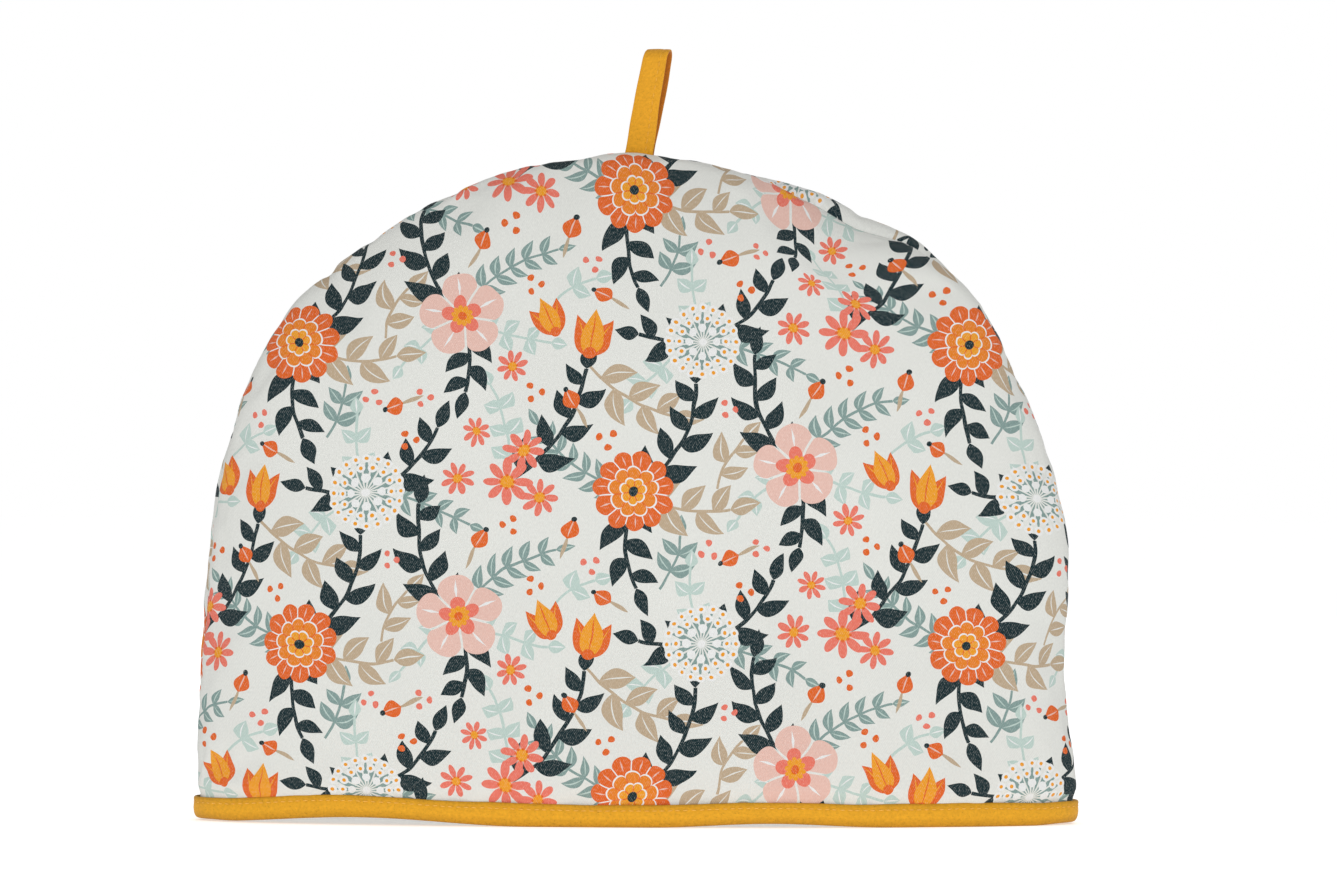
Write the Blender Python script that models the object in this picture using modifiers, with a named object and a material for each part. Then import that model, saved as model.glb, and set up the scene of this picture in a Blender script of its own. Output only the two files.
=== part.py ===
"""Padded tea cosy: two wadded dome panels sewn edge to edge, a bound hem and a hanging loop.

Metres, +Z up. The hem rests on Z = 0 and the origin is the middle of its footprint. The front panel
faces -Y and the side seams lie at -X and +X. Every piece is first shaped as if newly pressed, and
settled() then gives all of them the same uneven seam, lifted hem and soft dents.
"""

import math
from typing import NamedTuple

import bmesh
import bpy
from mathutils import Matrix, Vector

MM = 0.001

# Dome, measured on the middle of the padded wall.
HALF_WIDTH = 166.8 * MM
SEAM_HEIGHT = 254.4 * MM
HALF_DEPTH = 48.0 * MM
OUTLINE_POWER = 3.8  # how square the shoulders are, on the upright axis
ROUNDNESS = 0.52  # 0.5 is an elliptical section, larger is more pointed at the seam
TAPER = 0.35  # share of the depth lost from hem to ridge
TAPER_POWER = 1.6
SEAM_ZONE = 0.22  # outer share of the dome, in which unevenness of the seam dies away

# Wall of outer cloth, wadding and inner cloth.
WALL = 9.0 * MM
WALL_AT_SEAM = 2.6 * MM
WALL_AT_HEM = 4.6 * MM
SEAM_PINCH_REACH = 9.0 * MM
HEM_PINCH_REACH = 14.0 * MM
PIECE_GAP = 0.3 * MM

# Hem binding: a folded tape that wraps the raw edges of the panels.
TAPE = 1.1 * MM
BINDING_HEIGHT = 8.3 * MM
PANEL_EDGE = TAPE + PIECE_GAP  # height of the panels' raw edge, inside the binding

# Hanging loop: a doubled tape that stands on the ridge, leaning and turned a little.
LOOP_WIDTH = 10.9 * MM
LOOP_TAPE = 1.3 * MM
LOOP_RISE = 39.4 * MM
LOOP_ROOT_X = 1.9 * MM
LOOP_ROOT_HALF_GAP = 0.95 * MM
LOOP_BELLY = 4.6 * MM  # half the distance between the legs where they stand widest
LOOP_BELLY_AT = 0.62  # share of the straight legs' height
LOOP_FOLD_RISE = 0.75 * LOOP_BELLY  # height of the rounded fold
LOOP_LEAN = 6.5 * MM  # how far the fold stands to the right of the root
LOOP_TURN = math.radians(-11.5)
LOOP_EDGE_ROUND = 0.35 * MM
LOOP_ROOT_CLEARANCE = 0.3 * MM  # over the uneven ridge under the tape's corners

# Mesh resolution.
PANEL_COLUMNS = 40
PANEL_ROWS = 20
ROW_CROWDING = 1.33  # above 1 the lowest rows lie closer together, so that one is at the binding's top
BINDING_STEPS = 2 * PANEL_COLUMNS  # so that the tape's facets follow the panels'
LOOP_LEG_STEPS = 9
LOOP_FOLD_STEPS = 8


class Outline(NamedTuple):
    """How far the seam stands out (or in, below 0) at an angle round the dome.

    Nought is the right side seam at the hem, 90 the ridge and 180 the left side seam at the hem.
    """

    degrees: float
    out_mm: float


OUTLINE_UNEVEN = (
    Outline(0, 0.8),
    Outline(4, 1.8),
    Outline(13, -2.1),
    Outline(25, 1.0),
    Outline(37, -0.5),
    Outline(46, 2.0),
    Outline(53, 1.4),
    Outline(61, -3.4),
    Outline(67, -2.0),
    Outline(76, -0.6),
    Outline(84, 1.2),
    Outline(92, 3.1),
    Outline(100, 1.8),
    Outline(107, 2.0),
    Outline(117, 0.0),
    Outline(125, -2.9),
    Outline(130, -2.1),
    Outline(136, 1.8),
    Outline(142, 1.5),
    Outline(149, -0.7),
    Outline(160, -0.8),
    Outline(172, 0.5),
    Outline(180, -0.3),
)


class Wander(NamedTuple):
    """The seam strays to the back, or to the front below 0, round a middle angle."""

    degrees: float
    spread_degrees: float
    back_mm: float


SEAM_WANDER = (
    Wander(62, 17, -4.5),
    Wander(104, 12, 1.6),
    Wander(127, 11, 2.2),
    Wander(20, 16, 1.5),
    Wander(160, 16, -1.5),
)


class Lift(NamedTuple):
    """The hem stands off the table, on the front (side -1) or the back (side 1)."""

    side: int
    crest_x_mm: float
    half_length_mm: float
    lift_mm: float


HEM_LIFTS = (
    Lift(-1, -118, 52, 2.4),
    Lift(-1, 52, 46, 1.5),
    Lift(1, 84, 44, 1.8),
    Lift(1, -66, 40, 1.2),
)
LIFT_FADE = 70 * MM  # height at which a lift has died away
FRONT_REACH = 16 * MM  # distance from the seams' plane at which lifts and dents are whole
CORNER_LIFT = 0.7 * MM  # of the hem at the side seams, where it turns tightly
CORNER_REACH = 14 * MM


class Dent(NamedTuple):
    """A soft hollow of a panel, or a swelling below 0, on the front (side -1) or the back (side 1)."""

    side: int
    x_mm: float
    z_mm: float
    spread_mm: float
    depth_mm: float


PANEL_DENTS = (
    Dent(-1, -72, 118, 46, 1.8),
    Dent(-1, 60, 92, 50, 2.2),
    Dent(-1, -8, 178, 44, -1.6),
    Dent(-1, 98, 176, 32, 1.4),
    Dent(-1, -104, 60, 36, -1.5),
    Dent(1, 40, 120, 52, 2.4),
    Dent(1, -70, 90, 46, -1.8),
    Dent(1, -58, 178, 38, 1.6),
    Dent(1, 96, 58, 36, -1.2),
)


class Corner(NamedTuple):
    """A corner of the folded tape's section, measured outwards from the tape's inner face."""

    out_mm: float
    height_mm: float


BINDING_SECTION = (
    Corner(-0.6, 0.0),
    Corner(0.4, 0.5),
    Corner(1.05, 1.9),
    Corner(1.3, 4.15),
    Corner(1.1, 7.4),
    Corner(0.75, 8.3),
    Corner(0.15, 8.3),
    Corner(0.0, 7.7),
    Corner(0.0, 1.1),
)


def smooth(share):
    """Rises from 0 to 1 with level ends."""
    held = min(1.0, max(0.0, share))
    return held * held * (3.0 - 2.0 * held)


def bump(distance, reach):
    """1 at no distance, nothing from the reach on."""
    if abs(distance) >= reach:
        return 0.0
    return 0.5 * (1.0 + math.cos(math.pi * distance / reach))


def uneven_at(angle):
    """How far the seam stands out from the plain dome at an angle in degrees, in metres."""
    for low, high in zip(OUTLINE_UNEVEN, OUTLINE_UNEVEN[1:]):
        if angle <= high.degrees:
            share = smooth((angle - low.degrees) / (high.degrees - low.degrees))
            return (low.out_mm + (high.out_mm - low.out_mm) * share) * MM
    return 0.0


def outline_slope(across, up):
    """Gradient of the dome's outline function across**2 + up**OUTLINE_POWER, in the plane of the seam."""
    return Vector((2.0 * across / HALF_WIDTH, 0.0, OUTLINE_POWER * up ** (OUTLINE_POWER - 1.0) / SEAM_HEIGHT))


def settled(point):
    """Moves a point of the pressed cosy to where the used one has it.

    Where the seam wanders it slides along the dome, so the panel behind it rolls over the ridge.
    """
    x, y, z = point
    across = x / HALF_WIDTH
    up = max(0.0, z) / SEAM_HEIGHT
    closeness = math.sqrt(across**2 + up**OUTLINE_POWER)
    near_seam = smooth((closeness - 1.0 + SEAM_ZONE) / SEAM_ZONE)
    angle = math.degrees(math.atan2(up, across))

    moved = Vector(point)
    slope = outline_slope(across, up)
    if slope.length > 0.0:
        wander = sum(bump(angle - at.degrees, at.spread_degrees) * at.back_mm * MM for at in SEAM_WANDER)
        thinned = HALF_DEPTH * (1.0 - TAPER * min(1.0, up) ** TAPER_POWER)
        slide = (abs(y + wander) / thinned) ** (1.0 / ROUNDNESS) - (abs(y) / thinned) ** (1.0 / ROUNDNESS)
        outwards = uneven_at(angle) - slide / slope.length
        moved += slope.normalized() * outwards * near_seam
        moved.y += wander * near_seam

    fade = max(0.0, 1.0 - z / LIFT_FADE) ** 2
    moved.z += bump(max(0.0, HALF_WIDTH - abs(x)), CORNER_REACH) * CORNER_LIFT * fade
    for lift in HEM_LIFTS:
        from_seam = smooth(lift.side * y / FRONT_REACH)
        crest = bump(x - lift.crest_x_mm * MM, lift.half_length_mm * MM)
        moved.z += crest * lift.lift_mm * MM * from_seam * fade

    for dent in PANEL_DENTS:
        away = math.hypot(x - dent.x_mm * MM, z - dent.z_mm * MM) / (dent.spread_mm * MM)
        from_seam = smooth(dent.side * y / FRONT_REACH)
        moved.y -= dent.side * math.exp(-(away**2)) * dent.depth_mm * MM * from_seam * smooth(z / LIFT_FADE)
    return moved


def wall_middle(across, rise, side):
    """Point on the middle of the wall. across runs from -1 to 1 along the hem, rise from 0 at the hem to 1.

    A square is pressed into a half disc and stretched to the dome, so its left, top and right
    sides together follow the seam. The sine spacing crowds the rows where the wall turns.
    """
    u = math.sin(0.5 * math.pi * across)
    v = math.sin(0.5 * math.pi * rise**ROW_CROWDING) ** (0.5 * OUTLINE_POWER)
    height = (v * math.sqrt(1.0 - 0.5 * u * u)) ** (2.0 / OUTLINE_POWER)
    inside = max(0.0, (1.0 - u * u) * (1.0 - v * v))
    depth = HALF_DEPTH * (1.0 - TAPER * height**TAPER_POWER) * inside**ROUNDNESS
    return Vector(
        (
            HALF_WIDTH * u * math.sqrt(1.0 - 0.5 * v * v),
            side * (depth + 0.5 * PIECE_GAP),
            PANEL_EDGE + (SEAM_HEIGHT - PANEL_EDGE) * height,
        )
    )


def wall_normal(point, side):
    """Outward direction of the dome's surface at a point of it."""
    height = max(0.0, (point.z - PANEL_EDGE) / (SEAM_HEIGHT - PANEL_EDGE))
    thinning = 1.0 - TAPER * height**TAPER_POWER
    depth = max(0.0, abs(point.y) - 0.5 * PIECE_GAP) / (HALF_DEPTH * thinning)
    steepness = 1.0 / ROUNDNESS
    taper_slope = TAPER * TAPER_POWER * height ** (TAPER_POWER - 1.0) / thinning
    return Vector(
        (
            2.0 * point.x / HALF_WIDTH**2,
            side * steepness * depth ** (steepness - 1.0) / (HALF_DEPTH * thinning),
            (OUTLINE_POWER * height ** (OUTLINE_POWER - 1.0) + steepness * depth**steepness * taper_slope)
            / (SEAM_HEIGHT - PANEL_EDGE),
        )
    ).normalized()


def wall_thickness(point):
    """The wadding is pinched flat where the panels are sewn and where the hem is bound."""
    above_binding = smooth((point.z - BINDING_HEIGHT) / HEM_PINCH_REACH)
    full = WALL_AT_HEM + (WALL - WALL_AT_HEM) * above_binding
    from_seam = smooth((abs(point.y) - 0.5 * PIECE_GAP) / SEAM_PINCH_REACH)
    return WALL_AT_SEAM + (full - WALL_AT_SEAM) * from_seam


def wall_face(mesh, side, outward):
    """Adds one face of a padded wall as a grid, outward 0.5 for the outer and -0.5 for the inner one."""
    made = bmesh.ops.create_grid(mesh, x_segments=PANEL_COLUMNS, y_segments=PANEL_ROWS, size=1.0)["verts"]
    for vertex in made:
        middle = wall_middle(vertex.co.x, 0.5 * (vertex.co.y + 1.0), side)
        reach = outward * wall_thickness(middle)
        vertex.co = settled(middle + wall_normal(middle, side) * reach)
    return made


def link(name, mesh, collection, paint):
    """Turns a bmesh into a named object with its material."""
    data = bpy.data.meshes.new(name)
    mesh.to_mesh(data)
    mesh.free()
    data.materials.append(paint)
    made = bpy.data.objects.new(name, data)
    collection.objects.link(made)
    data.shade_smooth()
    data.set_sharp_from_angle(angle=math.radians(50.0))
    return made


def padded_panel(name, side, collection, paint):
    """One wadded dome panel: an outer and an inner face, joined by a rim along the seam and the hem."""
    mesh = bmesh.new()
    wall_face(mesh, side, 0.5)
    wall_face(mesh, side, -0.5)
    rims = [edge for edge in mesh.edges if edge.is_boundary]
    bmesh.ops.bridge_loops(mesh, edges=rims)
    bmesh.ops.recalc_face_normals(mesh, faces=mesh.faces)
    return link(name, mesh, collection, paint)


def binding_profile():
    """The folded tape's section as (distance from the wall's middle, height), once round from the table."""
    inner = 0.5 * WALL_AT_HEM + PIECE_GAP
    outer_half = [(inner + corner.out_mm * MM, corner.height_mm * MM) for corner in BINDING_SECTION]
    return outer_half + [(-away, height) for away, height in reversed(outer_half)]


def hem_path(turn):
    """Point and outward direction of the wall's middle at the hem, once round as turn goes from 0 to 1."""

    def at(angle):
        depth = HALF_DEPTH * abs(math.cos(angle)) ** (2.0 * ROUNDNESS) + 0.5 * PIECE_GAP
        return Vector((HALF_WIDTH * math.sin(angle), -math.copysign(depth, math.cos(angle)), 0.0))

    angle = 2.0 * math.pi * turn
    nudge = 0.02
    along = (at(angle + nudge) - at(angle - nudge)).normalized()
    return at(angle), Vector((along.y, -along.x, 0.0))


def hem_binding(collection, paint):
    """A ring of folded tape round the hem: a grid rolled up both ways and closed on itself."""
    profile = binding_profile()
    mesh = bmesh.new()
    made = bmesh.ops.create_grid(mesh, x_segments=BINDING_STEPS, y_segments=len(profile), size=1.0)["verts"]
    for vertex in made:
        step = round(0.5 * (vertex.co.x + 1.0) * BINDING_STEPS) % BINDING_STEPS
        corner = round(0.5 * (vertex.co.y + 1.0) * len(profile)) % len(profile)
        away, height = profile[corner]
        point, outward = hem_path(step / BINDING_STEPS)
        vertex.co = settled(point + outward * away + Vector((0.0, 0.0, height)))
    bmesh.ops.remove_doubles(mesh, verts=mesh.verts, dist=0.01 * MM)
    bmesh.ops.recalc_face_normals(mesh, faces=mesh.faces)
    return link("hem_binding", mesh, collection, paint)


def loop_path():
    """The loop's tape from one root over the fold to the other, in its own Y and Z."""
    half = []
    fold_height = LOOP_RISE - LOOP_FOLD_RISE
    for step in range(LOOP_LEG_STEPS + 1):
        share = step / LOOP_LEG_STEPS
        spread = LOOP_BELLY - LOOP_ROOT_HALF_GAP
        half.append((LOOP_ROOT_HALF_GAP + spread * smooth(share / LOOP_BELLY_AT), fold_height * share))
    for step in range(1, LOOP_FOLD_STEPS + 1):
        angle = 0.5 * math.pi * step / LOOP_FOLD_STEPS
        half.append((LOOP_BELLY * math.cos(angle), fold_height + LOOP_FOLD_RISE * math.sin(angle)))
    return [(-y, z) for y, z in half] + [(y, z) for y, z in reversed(half[:-1])]


def hanging_loop(collection, paint):
    """A ribbon drawn along the loop's path, leant, turned, and given its thickness and soft edges."""
    mesh = bmesh.new()
    verts = [mesh.verts.new((-0.5 * LOOP_WIDTH, y, z)) for y, z in loop_path()]
    edges = [mesh.edges.new(pair) for pair in zip(verts, verts[1:])]
    swept = bmesh.ops.extrude_edge_only(mesh, edges=edges)["geom"]
    far_side = [item for item in swept if isinstance(item, bmesh.types.BMVert)]
    bmesh.ops.translate(mesh, verts=far_side, vec=(LOOP_WIDTH, 0.0, 0.0))
    bmesh.ops.recalc_face_normals(mesh, faces=mesh.faces)
    leaning = Matrix.Shear("XY", 4, (LOOP_LEAN / LOOP_RISE, 0.0))

    ridge = settled((LOOP_ROOT_X, 0.0, SEAM_HEIGHT + 0.5 * WALL_AT_SEAM))
    root = ridge + Vector((0.0, 0.0, PIECE_GAP + LOOP_ROOT_CLEARANCE))
    placed = Matrix.Translation(root) @ Matrix.Rotation(LOOP_TURN, 4, "Z") @ leaning
    bmesh.ops.transform(mesh, matrix=placed, verts=mesh.verts)
    made = link("hanging_loop", mesh, collection, paint)

    thick = made.modifiers.new("tape", "SOLIDIFY")
    thick.thickness = LOOP_TAPE
    thick.offset = 0.0
    thick.use_even_offset = True
    soft = made.modifiers.new("soft_edges", "BEVEL")
    soft.width = LOOP_EDGE_ROUND
    soft.segments = 2
    soft.limit_method = "ANGLE"
    soft.angle_limit = math.radians(50.0)
    return made


def cloth(name, colour, roughness):
    """A plain cloth material."""
    made = bpy.data.materials.new(name)
    made.use_nodes = True
    shader = made.node_tree.nodes["Principled BSDF"]
    shader.inputs["Base Color"].default_value = (*colour, 1.0)
    shader.inputs["Roughness"].default_value = roughness
    shader.inputs["Metallic"].default_value = 0.0
    return made


def main():
    for old in list(bpy.data.objects):
        bpy.data.objects.remove(old)
    cosy = bpy.data.collections.new("tea_cosy")
    bpy.context.scene.collection.children.link(cosy)

    printed = cloth("printed_cotton", (0.72, 0.73, 0.69), 0.85)
    mustard = cloth("mustard_cotton", (0.80, 0.39, 0.03), 0.8)
    padded_panel("panel_front", -1, cosy, printed)
    padded_panel("panel_back", 1, cosy, printed)
    hem_binding(cosy, mustard)
    hanging_loop(cosy, mustard)


main()
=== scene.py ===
"""Looks of a padded tea cosy: two printed covers, a folded hem binding, a hanging loop and their sewing.

Laid out as a Blender add-on and run as a script. Metres, +Z up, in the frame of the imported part: the
hem rests on Z = 0 and the front cover faces -Y. Cloth patterns are drawn in millimetres of flat cloth.
"""

import math
import random
from typing import NamedTuple

import bmesh
import bpy
from bpy.props import FloatProperty, FloatVectorProperty, IntProperty, PointerProperty
from mathutils import Matrix, Vector, noise


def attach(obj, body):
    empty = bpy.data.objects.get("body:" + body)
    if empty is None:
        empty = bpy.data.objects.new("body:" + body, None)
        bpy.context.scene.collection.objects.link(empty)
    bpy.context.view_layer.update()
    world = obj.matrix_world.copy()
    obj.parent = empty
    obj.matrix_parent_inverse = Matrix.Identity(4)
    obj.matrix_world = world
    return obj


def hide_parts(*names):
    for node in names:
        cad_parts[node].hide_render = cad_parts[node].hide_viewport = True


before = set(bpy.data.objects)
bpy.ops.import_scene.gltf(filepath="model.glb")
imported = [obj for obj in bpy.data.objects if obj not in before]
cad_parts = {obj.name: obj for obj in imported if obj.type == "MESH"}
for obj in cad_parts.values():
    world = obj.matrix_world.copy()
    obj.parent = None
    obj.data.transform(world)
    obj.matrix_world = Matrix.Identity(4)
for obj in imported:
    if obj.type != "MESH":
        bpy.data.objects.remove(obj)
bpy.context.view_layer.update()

bl_info = {
    "name": "Tea cosy",
    "version": (1, 0, 0),
    "blender": (4, 5, 0),
    "location": "View3D > Sidebar > Tea cosy",
    "description": "Printed covers, hem binding, loop and sewing of a padded tea cosy",
    "category": "Add Mesh",
}

MM = 0.001

# Dome, on the middle of the padded wall, as in the part's source.
HALF_WIDTH = 166.8 * MM
SEAM_HEIGHT = 254.4 * MM
HALF_DEPTH = 48.0 * MM
OUTLINE_POWER = 3.8
ROUNDNESS = 0.52
TAPER = 0.35
TAPER_POWER = 1.6
SEAM_ZONE = 0.22
WALL = 9.0 * MM
WALL_AT_SEAM = 2.6 * MM
WALL_AT_HEM = 4.6 * MM
SEAM_PINCH_REACH = 9.0 * MM
HEM_PINCH_REACH = 14.0 * MM
PIECE_GAP = 0.3 * MM
TAPE = 1.1 * MM
BINDING_HEIGHT = 8.3 * MM
PANEL_EDGE = TAPE + PIECE_GAP
LIFT_FADE = 70 * MM
FRONT_REACH = 16 * MM
CORNER_LIFT = 0.7 * MM
CORNER_REACH = 14 * MM

# Loop, as in the part's source, but for its taper, more lean and a small step along the ridge.
LOOP_RISE = 39.4 * MM
LOOP_ROOT_X = 0.6 * MM
LOOP_ROOT_HALF_GAP = 0.95 * MM
LOOP_BELLY = 4.6 * MM
LOOP_BELLY_AT = 0.62
LOOP_FOLD_RISE = 0.75 * LOOP_BELLY
LOOP_LEAN = 7.4 * MM
LOOP_TURN = math.radians(-11.5)
LOOP_ROOT_SPREAD = 1.03
LOOP_TAPER = 0.16
LOOP_ROOT_CLEARANCE = 0.3 * MM

# Reach of the covers' fine shape.
SEAM_PUCKERS_END = 16.0 * MM
HEM_PUCKERS_END = 26.0 * MM
LUMP_SIZE = 42.0 * MM
LUMPS_FADE = 12.0 * MM

# Unevenness of the binding and the loop.
STITCH_PULL = 0.10 * MM
STITCH_PULL_REACH = 1.1 * MM
RIPPLES_ROUND = 60
EDGE_WAVES_ROUND = 34
EDGE_WAVE_MM = 0.3
LOOP_SWAY = 0.18 * MM
LOOP_DIMPLE = 0.10
LOOP_DIMPLE_PITCH = 3.0 * MM
STITCH_SLIP = 0.12

# Mesh resolution.
COVER_COLUMNS = 200
COVER_ROWS = 110
ROW_CROWDING = 1.33
BINDING_STEPS = 960
LOOP_LEG_STEPS = 44
LOOP_FOLD_STEPS = 14
UNROLL_STEPS = 16
HEM_SAMPLES = 2000
SETTLING_FRAMES = 20


class Outline(NamedTuple):
    """How far the seam stands out at an angle round the dome, 0 right hem, 90 ridge, 180 left hem."""

    degrees: float
    out_mm: float


OUTLINE_UNEVEN = (
    Outline(0, 0.8),
    Outline(4, 1.8),
    Outline(13, -2.1),
    Outline(25, 1.8),
    Outline(37, -0.5),
    Outline(46, 2.0),
    Outline(53, 1.4),
    Outline(61, -3.4),
    Outline(67, -2.0),
    Outline(76, -0.6),
    Outline(84, 1.2),
    Outline(92, 3.1),
    Outline(100, 0.9),
    Outline(107, 0.6),
    Outline(117, 0.0),
    Outline(125, -2.9),
    Outline(130, -2.1),
    Outline(136, 1.8),
    Outline(142, 1.5),
    Outline(149, 0.3),
    Outline(160, 0.2),
    Outline(172, 1.4),
    Outline(180, 0.2),
)


class Wander(NamedTuple):
    """The seam strays to the back, or to the front below 0, round a middle angle."""

    degrees: float
    spread_degrees: float
    back_mm: float


SEAM_WANDER = (
    Wander(62, 17, -4.5),
    Wander(104, 12, 1.6),
    Wander(127, 11, 2.2),
    Wander(20, 16, 1.5),
    Wander(160, 16, -1.5),
)


class Lift(NamedTuple):
    """The hem stands off the table, on the front (side -1) or the back (side 1)."""

    side: int
    crest_x_mm: float
    half_length_mm: float
    lift_mm: float


HEM_LIFTS = (
    Lift(-1, -106, 66, 2.9),
    Lift(-1, 52, 46, 1.5),
    Lift(1, 84, 44, 1.8),
    Lift(1, -66, 40, 1.2),
)

# Where the binding's upper edge sits higher on the cloth.
BINDING_RISES = (
    Lift(-1, -122, 48, 0.9),
    Lift(-1, -48, 34, 0.5),
    Lift(-1, 122, 46, 0.8),
    Lift(1, 96, 50, 0.7),
    Lift(1, -88, 44, 0.6),
)


class Dent(NamedTuple):
    """A soft hollow of a panel, or a swelling below 0, on the front (side -1) or the back (side 1)."""

    side: int
    x_mm: float
    z_mm: float
    spread_mm: float
    depth_mm: float


PANEL_DENTS = (
    Dent(-1, -72, 118, 46, 1.8),
    Dent(-1, 60, 92, 50, 2.2),
    Dent(-1, -8, 178, 44, -1.6),
    Dent(-1, 98, 176, 32, 1.4),
    Dent(-1, -104, 60, 36, -1.5),
    Dent(1, 40, 120, 52, 2.4),
    Dent(1, -70, 90, 46, -1.8),
    Dent(1, -58, 178, 38, 1.6),
    Dent(1, 96, 58, 36, -1.2),
)


class Corner(NamedTuple):
    """A point of a folded tape's section."""

    out_mm: float
    height_mm: float


# Outer half of the binding's section, out from the tape's inner face. STITCH_LINE is the sewn groove's height.
BINDING_SECTION = (
    Corner(-1.50, 0.00),
    Corner(-0.70, 0.03),
    Corner(-0.05, 0.22),
    Corner(0.50, 0.62),
    Corner(0.90, 1.25),
    Corner(1.16, 2.10),
    Corner(1.30, 3.10),
    Corner(1.34, 4.10),
    Corner(1.28, 5.00),
    Corner(1.20, 5.70),
    Corner(1.09, 6.15),
    Corner(1.00, 6.45),
    Corner(1.07, 6.75),
    Corner(1.16, 7.20),
    Corner(1.18, 7.75),
    Corner(1.04, 8.25),
    Corner(0.80, 8.56),
    Corner(0.46, 8.68),
    Corner(0.18, 8.56),
    Corner(0.03, 8.25),
    Corner(0.00, 7.30),
    Corner(0.00, 4.30),
    Corner(0.00, 1.50),
    Corner(-0.60, 1.12),
)
STITCH_LINE = 6.45 * MM

# Half of the loop tape's section, from the fold on the left to the doubled edge on the right.
LOOP_SECTION = (
    Corner(-5.45, 0.00),
    Corner(-5.38, 0.30),
    Corner(-5.10, 0.55),
    Corner(-4.50, 0.66),
    Corner(-2.60, 0.72),
    Corner(-0.20, 0.74),
    Corner(1.20, 0.72),
    Corner(2.00, 0.66),
    Corner(2.45, 0.57),
    Corner(2.90, 0.64),
    Corner(4.10, 0.67),
    Corner(5.10, 0.62),
    Corner(5.38, 0.48),
    Corner(5.45, 0.30),
    Corner(5.36, 0.10),
)
LOOP_STITCH_LINE = 2.45 * MM


def smooth(share):
    """Rises from 0 to 1 with level ends."""
    held = min(1.0, max(0.0, share))
    return held * held * (3.0 - 2.0 * held)


def bump(distance, reach):
    """1 at no distance, nothing from the reach on."""
    if abs(distance) >= reach:
        return 0.0
    return 0.5 * (1.0 + math.cos(math.pi * distance / reach))


def uneven_at(angle):
    """How far the seam stands out from the plain dome at an angle in degrees, in metres."""
    for low, high in zip(OUTLINE_UNEVEN, OUTLINE_UNEVEN[1:]):
        if angle <= high.degrees:
            share = smooth((angle - low.degrees) / (high.degrees - low.degrees))
            return (low.out_mm + (high.out_mm - low.out_mm) * share) * MM
    return 0.0


def settled(point):
    """Moves a point of the pressed cosy to where the used one has it, in the way of the part's source."""
    x, y, z = point
    across = x / HALF_WIDTH
    up = max(0.0, z) / SEAM_HEIGHT
    closeness = math.sqrt(across**2 + up**OUTLINE_POWER)
    near_seam = smooth((closeness - 1.0 + SEAM_ZONE) / SEAM_ZONE)
    angle = math.degrees(math.atan2(up, across))

    moved = Vector(point)
    upwards = OUTLINE_POWER * up ** (OUTLINE_POWER - 1.0) / SEAM_HEIGHT
    slope = Vector((2.0 * across / HALF_WIDTH, 0.0, upwards))
    if slope.length > 0.0 and near_seam > 0.0:
        wander = sum(bump(angle - at.degrees, at.spread_degrees) * at.back_mm * MM for at in SEAM_WANDER)
        thinned = HALF_DEPTH * (1.0 - TAPER * min(1.0, up) ** TAPER_POWER)
        slide = (abs(y + wander) / thinned) ** (1.0 / ROUNDNESS) - (abs(y) / thinned) ** (1.0 / ROUNDNESS)
        outwards = uneven_at(angle) - slide / slope.length
        moved += slope.normalized() * outwards * near_seam
        moved.y += wander * near_seam

    fade = max(0.0, 1.0 - z / LIFT_FADE) ** 2
    moved.z += bump(max(0.0, HALF_WIDTH - abs(x)), CORNER_REACH) * CORNER_LIFT * fade
    for lift in HEM_LIFTS:
        from_seam = smooth(lift.side * y / FRONT_REACH)
        crest = bump(x - lift.crest_x_mm * MM, lift.half_length_mm * MM)
        moved.z += crest * lift.lift_mm * MM * from_seam * fade

    for dent in PANEL_DENTS:
        away = math.hypot(x - dent.x_mm * MM, z - dent.z_mm * MM) / (dent.spread_mm * MM)
        from_seam = smooth(dent.side * y / FRONT_REACH)
        moved.y -= dent.side * math.exp(-(away**2)) * dent.depth_mm * MM * from_seam * smooth(z / LIFT_FADE)
    return moved


# ---------------------------------------------------------------------------------------------------
# Settings
# ---------------------------------------------------------------------------------------------------


def paint(red, green, blue):
    """Scene-linear colour of an 8-bit display colour."""

    def linear(value):
        share = value / 255.0
        return share / 12.92 if share <= 0.04045 else ((share + 0.055) / 1.055) ** 2.4

    return (linear(red), linear(green), linear(blue))


def length_setting(name, description, default):
    """A length in metres that the sidebar shows."""
    return FloatProperty(
        name=name, description=description, default=default, min=0.0, unit="LENGTH", precision=5
    )


def colour_setting(name, description, default):
    """A colour that the sidebar shows."""
    return FloatVectorProperty(
        name=name, description=description, default=default, size=3, min=0.0, max=1.0, subtype="COLOR"
    )


class CoverSettings(bpy.types.PropertyGroup):
    """Sizes of the covers' fine shape."""

    groove: length_setting("Seam groove", "Depth of the valley where the covers are sewn together", 1.3 * MM)
    groove_reach: length_setting("Groove reach", "Distance from the seam at which the valley ends", 4.0 * MM)
    puff_reach: length_setting("Puff reach", "Height over the binding at which the wadding is full", 6.0 * MM)
    pucker: length_setting("Puckers", "Height of the small puckers along the seam and the binding", 0.25 * MM)
    pucker_pitch: length_setting("Pucker pitch", "Usual distance between two puckers", 9.0 * MM)
    lump: length_setting("Wadding lumps", "Height of the soft unevenness of the wadding", 0.35 * MM)
    swell: FloatProperty(name="Swell", description="Pressure of the wadding under the cloth", default=2.0)
    ease: FloatProperty(
        name="Ease",
        description="How much longer the cloth is than its seams",
        default=0.012,
        subtype="FACTOR",
    )
    stiffness: FloatProperty(name="Stiffness", description="How far the cloth resists folds", default=2.0)
    most_move: length_setting("Most move", "How far the cloth may move as it settles, at most", 1.6 * MM)


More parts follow.
